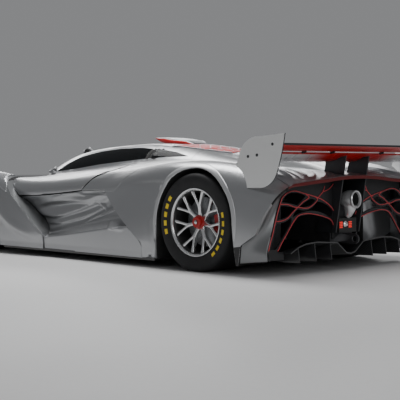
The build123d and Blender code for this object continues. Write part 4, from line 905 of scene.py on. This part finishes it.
def engine_grille(cover, frame_piece):
    """Red grille let into the engine cover: a tapering patch dropped on the panels, with silver ribs along both
    diagonals of its grid and a rail at each side."""
    along, across = lattice((0.0, 1.0, GRILLE_ROWS), (-1.0, 1.0, GRILLE_COLUMNS))
    x = GRILLE_FRONT_X - GRILLE_LENGTH * along
    y = across * (0.330 - 0.120 * along) * (1 - 0.25 * along ** 3)
    front, front_valid = from_above(x, y, frame_piece)
    back, back_valid = from_above(x, y, cover)
    points = np.where(front_valid[..., None] & (front[..., 2:] > GRILLE_LOWEST), front, back)
    valid = (front_valid | back_valid) & (points[..., 2] > GRILLE_LOWEST)
    points[..., 2] = smoothed(points[..., 2], valid, 8) + 0.0025
    skin("engine_grille", points, (0, 0, 1), valid, (GRILLE_RED,), "red_paint", longest=0.03)
    proud = points + [0, 0, 0.0005]
    t = np.linspace(0.0, 1.0, 60)
    parts = []
    for slope in (1, -1):
        for first in np.linspace(-2.0, 1.0, 8):
            v = first + slope * 2.0 * (t - 0.5) + (slope < 0)
            keep = np.abs(v) <= 1.0
            if keep.sum() < 8:
                continue
            row = np.rint(t[keep] * (GRILLE_ROWS - 1)).astype(int)
            column = np.rint((v[keep] + 1) / 2 * (GRILLE_COLUMNS - 1)).astype(int)
            parts.append(tube_points(proud[row, column], GRILLE_RIB, 6))
    for edge in (0, -1):
        parts.append(tube_points(proud[:, edge], GRILLE_RAIL, 8))
    closed_piece("engine_grille_ribs", joined_arrays(parts), BRIGHT_SILVER, "silver_paint")


SCOOP_FRONT_X, SCOOP_LENGTH, SCOOP_HALF_WIDTH = -0.176, 0.408, 0.150


def scoop():
    """Roof scoop: a wedge that rises forwards to a sharp visor; each section is a superellipse arch whose height
    and width change along its length. Silver above, red on its cheeks, and a black sheet in its mouth as painted
    shade."""
    along = np.linspace(0.0, 1.0, 40)[:, None]
    turn = np.linspace(0.0, math.pi, 41)[None, :]
    top = np.interp(along, [0.0, 0.28, 0.85, 1.0], [0.999, 0.998, 0.972, 0.946])
    low = np.interp(along, [0.0, 0.22, 0.5, 1.0], [0.990, 0.958, 0.935, 0.925])
    swell = np.sin(math.pi * np.clip(along * 0.8 + 0.1, 0, 1)) ** 0.5
    half = SCOOP_HALF_WIDTH * (0.72 + 0.28 * swell) * (1 - 0.35 * along ** 4)
    x = SCOOP_FRONT_X - SCOOP_LENGTH * along
    y = half * np.sign(np.cos(turn)) * np.abs(np.cos(turn)) ** 0.35
    z = low + (top - low) * np.abs(np.sin(turn)) ** 0.35
    piece = skin("roof_scoop_shell", points_at(x, y, z), (0, 0, 1), None, (BRIGHT_SILVER, RED), "red_paint",
                 thickness=0.005, longest=0.2)
    _, normal = face_arrays(piece)
    set_finish(piece, np.abs(normal[:, 1]) > 0.6)
    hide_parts("roof_scoop")
    # Black sheet set back in the mouth: painted shade for the shadowed inside of the scoop
    mouth = points_at(x - 0.05, y * 0.9, low + (z - low) * 0.55)[:22]
    skin("roof_scoop_throat_shade", mouth, (0, 0, 1), None, (BLACK_LINING_AND_SHADE,), "black_panel", thickness=0.003,
         longest=0.2)


def rear_pillar(centre):
    """Faces between the door glass and the quarter window, dark like the glass beside them."""
    return within(centre[:, 0], -0.54, -0.400) & within(centre[:, 2], 0.814, 0.897)


UPPER_HINGE = (0.498, 0.335, 0.895)
HINGE_REACH = 0.055


def body_panels():
    """Painted panels: smooth copies, black inside the wells and on the faces that look in, with painted shade on
    the rear fenders' feet, the rear deck's backward faces and the nose's sloping faces; then their reliefs.
    """
    skins = {}
    for node in ("nose_shell", "rear_shell", "canopy_frame", "engine_cover", "side_pods"):
        piece = merged_copy(node, node + "_skin", [SILVER, BLACK_LINING_AND_SHADE, SHADED_RED, CORNER_GREY_AND_SHADE],
                            24.0 if node == "nose_shell" else 32.0)
        centre, normal = face_arrays(piece)
        x, y, z = centre[:, 0], np.abs(centre[:, 1]), centre[:, 2]
        # Sloping faces at the back of the nose's wings: silver paint darkened to the corner grey as painted shade
        slanted_shade = (np.abs(normal[:, 1]) < 0.06) & (normal[:, 0] < -0.5) & (normal[:, 2] > 0.6)
        slanted_shade &= (x > 0.3) & (y > 0.45) & (node == "nose_shell")
        # Backward faces at the rear deck's edge: red paint darkened as painted shade
        trailing_shade = (normal[:, 0] < -0.8) & (x < -2.15) & (y < 0.8) & (z > 0.55)
        # Backward faces low behind the rear wheels: black as a painted shadow
        foot_shadow = (normal[:, 0] < -0.5) & (x < -1.80) & (z < 0.215)
        pillar = rear_pillar(centre) & (node == "canopy_frame")
        set_finish(piece, inside_well(centre) | facing_in(centre, normal) | foot_shadow | pillar, trailing_shade, slanted_shade)
        skins[node] = piece
    for side, _ in SIDES:
        piece = merged_copy(f"door_panel_{side}", f"door_skin_{side}", [SILVER, BLACK_LINING_AND_SHADE])
        centre, normal = face_arrays(piece)
        from_hinge = centre * [1, np.sign(centre[:, 1].mean()), 1] - UPPER_HINGE
        near_hinge = np.linalg.norm(from_hinge, axis=1) < HINGE_REACH
        set_finish(piece, facing_in(centre, normal) | near_hinge | rear_pillar(centre))
    for node in ("windscreen", "quarter_windows", "door_glass_left", "door_glass_right"):
        merged_copy(node, node + "_pane", [GLASS])
    bpy.context.view_layer.update()
    nose, rear = skins["nose_shell"], skins["rear_shell"]
    side_reliefs(skins["side_pods"], nose)
    arch_bands(rear, nose)
    front_fenders(nose)
    fender_louvres(nose)
    deck_reliefs(rear)
    haunches(rear)
    painted_foot_shadows(rear)
    engine_grille(skins["engine_cover"], skins["canopy_frame"])
    scoop()
# Endplate bolts, as (length, height), and the distances left of the plates that tie the flap to the wing
ENDPLATE_BOLTS = ((-2.176, 0.904), (-2.039, 0.832), (-1.958, 0.823))
WING_BRACKETS = (-0.62, -0.30, 0.30, 0.62)


def rear_pieces():
    """Wing, plates, panels and powertrain that show behind."""
    for node, finishes, slot in (
        ("wing_main", [WING_RED], "red_paint"), ("wing_flap", [RED], "red_paint"),
        ("wing_endplates", [PLATE_GREY, DARK_PLATE], "grey_plate"),
        ("wing_pillars", [DARK_PLATE, ENGINE_METAL], "dark_plate"), ("gearbox", [ENGINE_METAL], "engine_metal"),
        ("rear_fascia", [BLACK_PANEL_AND_SHADOW, CORNER_GREY_AND_SHADE], "black_panel"),
    ):
        piece = merged_copy(node, node + "_finished", finishes, sharp=25.0)
        centre, normal = face_arrays(piece)
        sideways = np.abs(normal[:, 1]) > 0.5
        if node == "wing_endplates":
            set_finish(piece, ~sideways)
        if node == "wing_pillars":
            set_finish(piece, ~sideways & (centre[:, 2] > 0.62))
        if node == "rear_fascia":
            set_finish(piece, sideways & (np.abs(centre[:, 1]) > 0.83))
    for node, finish in (
        ("engine_block", ENGINE_METAL), ("diffuser", CARBON), ("undertray", CARBON), ("tub", CARBON),
        ("bulkhead", BLACK_LINING_AND_SHADE), ("dashboard", CARBON), ("steering_wheel", BLACK_PLASTIC),
        ("front_wishbones", DARK_PLATE), ("rain_light", BLACK_PLASTIC), ("headlamps", LAMP_CLEAR),
    ):
        plain(node, finish)
    _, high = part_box("wing_endplates")
    for side, sign in SIDES:
        for number, (x, z) in enumerate(ENDPLATE_BOLTS, 1):
            profile = [(sign * (high.y + out), radius) for out, radius in (
                (-0.002, 0.0), (-0.002, 0.011), (0.0015, 0.0105), (0.004, 0.007), (0.0045, 0.0))]
            turned_piece(f"plate_bolt_{side}_{number}", (x, 0, z), profile, DARK_PLATE, "dark_plate", segments=20)
    wing_trim()
    exhaust_can()
    lamp_cluster()


def swept_bar(section, start, end, steps=24):
    """Closed bar: a section of (x, z) points carried straight across the car between two distances left."""
    count = len(section)
    faces = [tuple(f) for f in grid_faces(steps, count, close_columns=True)]
    faces += [tuple(range(count)), tuple(range(steps * count - 1, (steps - 1) * count - 1, -1))]
    y = np.linspace(start, end, steps)[:, None]
    return points_at(section[:, 0], y, section[:, 1]).reshape(-1, 3), faces


def wing_trim():
    """Dark strip along the flap's upper edge, and the small plates that tie the flap to the wing."""
    low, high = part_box("wing_flap")
    _, main_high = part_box("wing_main")
    strip = np.array([(0.000, -0.004), (0.004, -0.004), (0.004, 0.008), (0.003, 0.010), (0.001, 0.010),
                      (0.000, 0.008)]) + [low.x - 0.001, high.z - 0.004]
    plate = np.array([(-0.0225, 0.000), (0.0150, -0.006), (0.0200, 0.002), (0.0100, 0.015), (-0.0150, 0.021),
                      (-0.0250, 0.015)]) + [low.x + 0.085, main_high.z - 0.004]
    for name, arrays in (
        ("flap_edge_strip", swept_bar(strip, low.y + 0.004, high.y - 0.004)),
        ("flap_brackets", joined_arrays([swept_bar(plate, y - 0.003, y + 0.003) for y in WING_BRACKETS])),
    ):
        closed_piece(name, arrays, DARK_PLATE, "dark_plate", sharp=None)


EXHAUST_CENTRE = np.array((-2.120, -0.004, 0.512))
EXHAUST_AIM = np.array((-0.995, -0.06, 0.04))


def exhaust_can():
    """Polished exhaust can: a rounded bowl turned about its aim, with a rolled mouth, and a tapered pipe below."""
    profile = [(-0.074, 0.0), (-0.072, 0.020), (-0.063, 0.042), (-0.044, 0.060), (-0.018, 0.069), (0.012, 0.069),
               (0.034, 0.063), (0.042, 0.066), (0.052, 0.067), (0.058, 0.062), (0.055, 0.055), (0.040, 0.051),
               (0.004, 0.048), (-0.020, 0.034), (-0.026, 0.0)]
    piece = turned_piece("exhaust_can", EXHAUST_CENTRE, profile, STEEL, "bright_metal", segments=72,
                         axis=EXHAUST_AIM)
    piece.data.materials.append(BLACK_LINING_AND_SHADE.material)
    centre, _ = face_arrays(piece)
    offset, aim = centre - EXHAUST_CENTRE, unit(EXHAUST_AIM)
    depth = offset @ aim
    away = np.linalg.norm(offset - depth[:, None] * aim, axis=1)
    set_finish(piece, (away < 0.0515) & within(depth, -0.03, 0.053))
    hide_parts("exhaust")
    path = smooth_path([(-2.120, 0.0, 0.470), (-2.118, 0.0, 0.440), (-2.110, 0.0, 0.412), (-2.098, 0.0, 0.386)], 8)
    stem = tube_points(path, np.linspace(0.052, 0.022, len(path)), 24)
    closed_piece("exhaust_stem", stem, STEEL, "bright_metal")


LED_PITCH = 0.0125
LED_COLUMNS, LED_ROWS = 3, 4
LED_DOME = ((-0.001, 0.0), (-0.001, 0.0048), (0.003, 0.0042), (0.0055, 0.0022), (0.0062, 0.0))
LAMP_BALL = ((-0.002, 0.0), (-0.002, 0.024), (0.006, 0.024), (0.014, 0.018), (0.019, 0.009), (0.020, 0.0))
BACKWARDS = (-1, 0, 0)


def lamp_cluster():
    """Rear lamp: two blocks of small red domes in rows, and a chrome round between them, on the lamp box's face."""
    low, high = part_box("rain_light")
    middle = (low.z + high.z) / 2 + 0.004
    faces = grid_faces(12, len(LED_DOME), close_rows=True)
    for label, start in (("left", 0.070), ("right", -0.040)):
        places = [(low.x, start + c * LED_PITCH, middle + (r - 1.5) * LED_PITCH)
                  for c in range(LED_COLUMNS) for r in range(LED_ROWS)]
        parts = [(turned_points(place, LED_DOME, 12, axis=BACKWARDS), faces) for place in places]
        closed_piece(f"rear_leds_{label}", joined_arrays(parts), LED_RED, "lamp_red")
    turned_piece("rear_lamp_round", (low.x, 0.034, middle + 0.004), LAMP_BALL, BRIGHT, "bright_metal", segments=40,
                 axis=BACKWARDS)


SEAT_MIDDLE = -0.235
SEAT_LINE = ((0.165, 0.245), (0.06, 0.205), (-0.08, 0.170), (-0.20, 0.172), (-0.29, 0.25), (-0.345, 0.38),
             (-0.395, 0.52), (-0.435, 0.65))


def seat_surface(lift, spread, low=0.0, high=1.0, rows=70, columns=41):
    """Bucket seat: its middle line in side view, spread to each side, where the bolsters rise along the line's
    normal as the fourth power of the distance; lift is the height above the shell."""
    line = smooth_path(SEAT_LINE, 12)
    count = len(line) - 1
    share = np.linspace(low, high, rows)
    x, z = (np.interp(share * count, np.arange(count + 1), line[:, k]) for k in (0, 1))
    run = unit(np.stack([np.gradient(x), np.gradient(z)], -1))
    steps = [0, 0.35, 0.6, 0.85, 1]
    width = np.interp(share, steps, [0.195, 0.195, 0.20, 0.165, 0.105]) * spread
    bolster = np.interp(share, steps, [0.03, 0.075, 0.075, 0.05, 0.03])
    across = np.linspace(-1, 1, columns)[None, :]
    rise = bolster[:, None] * (np.abs(across) * spread) ** 4 + lift(share[:, None], across)
    return points_at(x[:, None] + rise * run[:, 1:], SEAT_MIDDLE + width[:, None] * across,
                     z[:, None] - rise * run[:, :1])


def pad_height(u, v):
    """Height of the seat's pad: full in the middle, pulled in at the edges and at the seams."""
    edge = (1 - v ** 6) ** 0.5 * (1 - np.abs(2 * u - 1) ** 14) ** 0.5
    channels = 1 - 0.30 * np.exp(-((((u * 9) % 1.0) - 0.5) / 0.10) ** 2) * (np.abs(v) < 0.62)
    seams = 1 - 0.40 * np.exp(-((np.abs(v) - 0.66) / 0.035) ** 2)
    return 0.002 + 0.030 * edge * channels * seams


def seat():
    """Driver's seat: a thin carbon shell, and a crowned cloth pad with sewn channels across it."""
    face, back = (seat_surface(lambda u, v: level, 1.0) for level in (0.0, -0.010))
    closed_piece("seat_shell", closed_patch(face, back), CARBON, "carbon", sharp=40)
    face, back = (seat_surface(lift, 0.93, 0.02, 0.97, rows=180, columns=81)
                  for lift in (pad_height, lambda u, v: 0.0012))
    pad = closed_piece("seat_pad", closed_patch(face, back), SEAT_CLOTH, "seat_fabric")
    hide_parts("seat")


# Wheels


PROFILE_STEPS = 15


def tyre_profile(outer, sign, radius, width):
    """Closed section of a slick tyre: bead, bulged sidewall, round shoulder by a superellipse, and a flat tread."""
    rim_radius, bulge, shoulder = 0.236, 0.006, 0.045
    side = np.linspace(0.0, 1.0, PROFILE_STEPS)
    side_r = rim_radius + (radius - shoulder - rim_radius) * side
    side_y = -0.022 + 0.022 * np.sin(side * math.pi / 2) ** 0.6 - bulge * (1 - np.sin(side * math.pi / 2))
    turn = np.linspace(0.0, math.pi / 2, PROFILE_STEPS)[1:]
    round_y = -shoulder * 0.9 * (1 - np.cos(turn) ** 0.8)
    round_r = radius - shoulder + shoulder * np.sin(turn) ** 0.8
    half = np.stack([np.concatenate([side_y, round_y]), np.concatenate([side_r, round_r])], -1)
    outer_half = np.stack([outer + sign * half[:, 0], half[:, 1]], -1)
    inner_half = np.stack([outer - sign * (width + half[:, 0]), half[:, 1]], -1)[::-1]
    tread_y = np.linspace(outer_half[-1, 0], inner_half[0, 0], 12)[1:-1]
    tread = np.stack([tread_y, np.full(len(tread_y), radius)], -1)
    return np.concatenate([outer_half, tread, inner_half])


def tyres():
    """Tyres turned from their section, with plain yellow dashes on each tyre's outer sidewall."""
    for tyre, _, _, body, sign in WHEELS:
        centre, outer, radius, width = wheel_place(tyre)
        finish = tyre_finish("rubber_" + tyre, centre[0], centre[2])
        profile = tyre_profile(outer, sign, radius, width)
        points = turned_points(centre, profile)
        piece = closed_piece(tyre + "_rubber", (points, grid_faces(len(points), len(profile), True, True)), finish,
                             "tyre", body, sharp=50)
        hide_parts(tyre)
        sidewall_dashes(tyre, centre, sign, radius, profile, body)


# Groups of dashes, as (start angle, end angle, count)
DASH_GROUPS = ((math.radians(-19), math.radians(43), 5), (math.radians(164), math.radians(236), 6))
DASH_SHARE = 0.60
DASH_HEIGHT = 0.024
DASH_RISE = 0.0010
DASH_DEPTH = 0.064  # From the tread in to the dashes' middle


def sidewall_dashes(tyre, centre, sign, radius, profile, body):
    """Plain raised dashes in two arcs: patches of the sidewall's own turned surface, lifted and given a
    thickness."""
    side_y, side_radius = profile[:PROFILE_STEPS].T
    middle = radius - DASH_DEPTH
    radii = np.linspace(middle - DASH_HEIGHT / 2, middle + DASH_HEIGHT / 2, 5)
    y = np.interp(radii, side_radius, side_y)
    parts = []
    for start, stop, count in DASH_GROUPS:
        step = (stop - start) / count
        for k in range(count):
            parts.append(closed_patch(*(
                turned_points(centre, np.stack([y + sign * rise, radii], -1), 9, start + k * step,
                              step * DASH_SHARE)
                for rise in (DASH_RISE, -DASH_RISE))))
    closed_piece(tyre + "_dashes", joined_arrays(parts), YELLOW, "tyre", body, sharp=None)


def closed_patch(face, back):
    """Two grids of the same size, one behind the other, closed round their edge."""
    rows, columns = face.shape[:2]
    count = rows * columns
    grid = np.arange(count).reshape(rows, columns)
    edge = np.concatenate([grid[0, :-1], grid[:-1, -1], grid[-1, :0:-1], grid[:0:-1, 0]])
    following = np.roll(edge, -1)
    faces = [tuple(f) for f in grid_faces(rows, columns)]
    faces += [tuple(f[::-1] + count) for f in grid_faces(rows, columns)]
    faces += [(a, a + count, b + count, b) for a, b in zip(edge, following)]
    return np.concatenate([face.reshape(-1, 3), back.reshape(-1, 3)]), faces


SPOKES = 7
HUB_RADIUS, FORK_RADIUS, TIP_RADIUS = 0.048, 0.112, 0.226
FACE_INSET, HUB_DISH = 0.038, 0.030
DISH_START, DISH_END = 0.052, 0.223
STRAP_DEPTH = 0.0125


def strap(path, across, normal, widths, depth, sides=16):
    """Forged strap: superellipse sections carried along a path, each with its own half width."""
    angle = 2 * math.pi * np.arange(sides) / sides
    wide, deep = (np.sign(turn) * np.abs(turn) ** 0.7 for turn in (np.cos(angle), np.sin(angle)))
    rings = path[:, None] + (widths[:, None] * wide)[..., None] * across + (depth * deep)[None, :, None] * normal
    return capped_rings(rings, path)


def forged_spokes(rim, centre, outer, sign, body):
    """Forked spokes: trunks and branches as straps that flare at both ends and follow the dish of the wheel."""
    half_turn = math.pi / SPOKES / 2
    t = np.linspace(0, 1, 14)
    parts = []
    for spoke in range(SPOKES):
        aim = math.pi / 2 + spoke * 2 * math.pi / SPOKES
        for begin, end, turn, wide in (
            (HUB_RADIUS - 0.008, FORK_RADIUS + 0.010, 0.0, (0.0215, 0.0140, 0.0170)),
            (FORK_RADIUS, TIP_RADIUS, half_turn, (0.0125, 0.0098, 0.0150)),
            (FORK_RADIUS, TIP_RADIUS, -half_turn, (0.0125, 0.0098, 0.0150)),
        ):
            start = begin * np.array([math.cos(aim), math.sin(aim)])
            stop = end * np.array([math.cos(aim + turn), math.sin(aim + turn)])
            flat = start + (stop - start) * t[:, None]
            away = np.linalg.norm(flat, axis=1)
            dish = FACE_INSET + HUB_DISH * np.clip(1 - (away - DISH_START) / (DISH_END - DISH_START), 0, 1)
            path = points_at(centre[0] + flat[:, 0], outer - sign * (dish + 0.010), centre[2] + flat[:, 1])
            run = unit(stop - start)
            across, normal = np.array([-run[1], 0.0, run[0]]), np.array([0.0, sign, 0.0])
            parts.append(strap(path, across, normal, np.interp(t, [0, 0.5, 1], wide), STRAP_DEPTH))
    closed_piece(rim + "_spokes", joined_arrays(parts), RIM_SILVER, "rim_silver", body, sharp=50)


# Sections about the axle, as (distance in from the tyre's outer face, or from the nut's, and radius)
LIP = ((0.0165, 0.2475), (0.0125, 0.2465), (0.0110, 0.2430), (0.0125, 0.2380), (0.0180, 0.2330), (0.0280, 0.2285),
       (0.0330, 0.2290), (0.0330, 0.2320), (0.0240, 0.2400))
NUT = ((0.040, 0.0), (0.040, 0.052), (0.030, 0.052), (0.026, 0.044), (0.006, 0.042), (0.0, 0.036), (0.0, 0.018),
       (0.010, 0.016), (0.010, 0.0))
TIP = ((0.016, 0.0), (0.016, 0.014), (-0.004, 0.014), (-0.010, 0.008), (-0.011, 0.0))
NUT_INSET = 0.026


def rims():
    """Rims: dark barrel, bright lip and forged spokes; a red centre nut with a bright spindle tip."""
    for tyre, rim, disc, body, sign in WHEELS:
        centre, outer, _, _ = wheel_place(tyre)
        piece = merged_copy(rim, rim + "_barrel", [RIM_SILVER, BLACK_PLASTIC], sharp=28.0)
        middle, _ = face_arrays(piece)
        away = np.hypot(middle[:, 0] - centre[0], middle[:, 2] - centre[2])
        inward = (outer - middle[:, 1]) * sign
        set_finish(piece, (away > 0.212) & (inward > 0.030))
        forged_spokes(rim, centre, outer, sign, body)
        lip, nut, tip = ([(outer - sign * (inset + extra), radius) for inset, radius in section]
                         for section, extra in ((LIP, 0.0), (NUT, NUT_INSET), (TIP, NUT_INSET)))
        points = turned_points(centre, lip, 144)
        closed_piece(rim + "_lip", (points, grid_faces(144, len(lip), True, True)), RIM_SILVER, "rim_silver", body)
        turned_piece(rim + "_nut", centre, nut, RED, "red_paint", body, segments=12)
        turned_piece(rim + "_spindle_tip", centre, tip, BRIGHT, "bright_metal", body, segments=24)
        plain(disc, disc_finish("iron_" + disc, centre[0], centre[2]))


def suspension():
    """Uprights and arms in metal, with the calipers red."""
    for node in ("rear_suspension", "front_upright_left", "front_upright_right"):
        piece = merged_copy(node, node + "_forged", [UPRIGHT_METAL, RED], sharp=30.0)
        middle, _ = face_arrays(piece)
        place = REAR_CENTRE if node.startswith("rear") else FRONT_CENTRE
        x, z = middle[:, 0] - place[0], middle[:, 2] - place[2]
        caliper = (x < -0.095) & (np.hypot(x, z) > 0.11) & (np.abs(z) < 0.1)
        set_finish(piece, caliper & (np.abs(middle[:, 1]) > 0.7))


CORNER_INNER = ((-2.0705, 0.866, 0.104), (-2.0705, 0.868, 0.179), (-2.0705, 0.826, 0.288), (-2.0705, 0.779, 0.426),
                (-2.0705, 0.745, 0.502), (-2.0740, 0.718, 0.548), (-2.0900, 0.690, 0.582))
CORNER_OUTER = ((-1.880, 0.940, 0.084), (-1.902, 0.953, 0.184), (-1.966, 0.950, 0.268), (-2.036, 0.934, 0.330),
                (-2.078, 0.926, 0.410), (-2.112, 0.892, 0.500), (-2.158, 0.846, 0.582))
CORNER_HOLLOW = (0.012, -0.006, 0.0)


def corner_panels():
    """Grey corner panels between the fender's rear edge and the rear panel: lines ruled between two smooth edges,
    hollowed by a sine between them."""
    inner, outer = smooth_path(CORNER_INNER, 14), smooth_path(CORNER_OUTER, 14)
    share = np.linspace(0.0, 1.0, 24)[None, :, None]
    points = inner[:, None] + (outer - inner)[:, None] * share + np.sin(math.pi * share) * CORNER_HOLLOW
    for side, sign in SIDES:
        skin(f"corner_panel_{side}", points * [1.0, sign, 1.0], (-0.6, sign, 0), None, (CORNER_GREY_AND_SHADE,),
             "black_panel", thickness=0.003)


# Red piping on the rear panel's ribs, as (distance left, height) in millimetres
PIPING_LINES = (
    ((864, 179), (845, 235), (822, 288), (800, 355), (774, 426), (756, 468), (741, 502), (715, 544), (660, 574),
     (582, 584), (492, 567), (377, 544), (283, 519), (187, 473), (139, 427), (112, 372), (106, 330)),
    ((768, 173), (714, 240), (670, 288), (604, 363), (548, 408), (468, 422), (377, 416), (259, 394), (174, 368),
     (138, 320), (116, 270), (108, 225)),
    ((784, 377), (714, 382), (659, 400), (604, 438), (549, 472), (492, 507), (435, 530), (430, 541), (463, 560)),
    ((736, 495), (660, 491), (594, 473), (549, 469), (446, 461), (377, 485), (330, 520), (366, 543)),
    ((330, 528), (272, 571), (247, 614)),
    ((272, 571), (200, 591), (146, 628)),
)
PIPING_RADIUS = 0.0034
PIPING_END = 0.122  # Distance left at which the tubes stop, by the pillars
FASCIA_FACE_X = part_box("rear_fascia")[0].x - 0.0018


def piping():
    """Tubes along smooth curves through the piping's points, on the rear panel's face."""
    for side, sign in SIDES:
        parts = []
        for line in PIPING_LINES:
            flat = smooth_path(np.array(line, float) * MILLIMETRE)
            flat = flat[flat[:, 0] > PIPING_END]
            path = points_at(FASCIA_FACE_X, sign * flat[:, 0], flat[:, 1])
            parts.append(tube_points(path, PIPING_RADIUS))
        closed_piece(f"rear_piping_{side}", joined_arrays(parts), PIPING, "red_paint")


# Camera, floor and light


def make_camera():
    """Camera at the photograph's place, looking along its forward line with no roll."""
    data = bpy.data.cameras.new("camera")
    data.sensor_width = SENSOR_MM
    data.lens = SENSOR_MM * CAMERA_FOCAL_PIXELS / FRAME_PIXELS
    data.clip_end = 200.0
    camera = linked("camera", data)
    forward = Vector(CAMERA_FORWARD).normalized()
    right = forward.cross(Vector((0, 0, 1))).normalized()
    up = right.cross(forward)
    turn = Matrix((right, up, -forward)).transposed().to_4x4()
    camera.matrix_world = Matrix.Translation(CAMERA_PLACE) @ turn
    bpy.context.scene.camera = camera


FLOOR_REACH = 60.0


def make_floor():
    """Wide pale floor just under the tyres."""
    finish = grained("pale_floor", (0.60, 0.60, 0.60), (0.64, 0.64, 0.64), fine=30.0, broad=0.4, distance=0.0005,
                     rough=(0.5, 0.6), strength=0.05)
    mesh = bpy.data.meshes.new("floor")
    corners = [(x * FLOOR_REACH, y * FLOOR_REACH, 0) for x, y in ((-1, -1), (1, -1), (1, 1), (-1, 1))]
    mesh.from_pydata(corners, [], [(0, 1, 2, 3)])
    floor = linked("floor", mesh)
    mesh.materials.append(finish.material)


# Lights that the camera doesn't see, as (name, place, target, (width, height), watts)
LIGHTS = (
    ("overhead_box", (-0.4, 0.4, 4.0), (-0.4, 0.1, 0.6), (5.5, 1.2), 230.0),
    ("far_strip", (5.2, -4.2, 3.4), (-0.4, 0.3, 0.7), (9.0, 1.0), 215.0),
    ("rear_fill", (-6.5, 3.0, 2.6), (-1.5, 0.0, 0.5), (2.5, 2.0), 45.0),
)


def make_light():
    """Soft studio: a long box overhead, a low strip beyond the car that draws the shoulders' highlights, a weak
    fill from the camera's side and a pale room."""
    for name, place, target, size, power in LIGHTS:
        data = bpy.data.lights.new(name, "AREA")
        data.shape = "RECTANGLE"
        data.size, data.size_y = size
        data.energy = power
        light = linked(name, data)
        light.location = place
        light.rotation_euler = (Vector(target) - Vector(place)).to_track_quat("-Z", "Y").to_euler()
        light.visible_camera = False
    world = bpy.data.worlds.new("studio")
    world.use_nodes = True
    background = world.node_tree.nodes["Background"]
    background.inputs["Color"].default_value = (0.80, 0.81, 0.83, 1.0)
    background.inputs["Strength"].default_value = 0.30
    bpy.context.scene.world = world


make_camera()
body_panels()
rear_pieces()
tyres()
rims()
suspension()
corner_panels()
piping()
seat()
make_floor()
make_light()
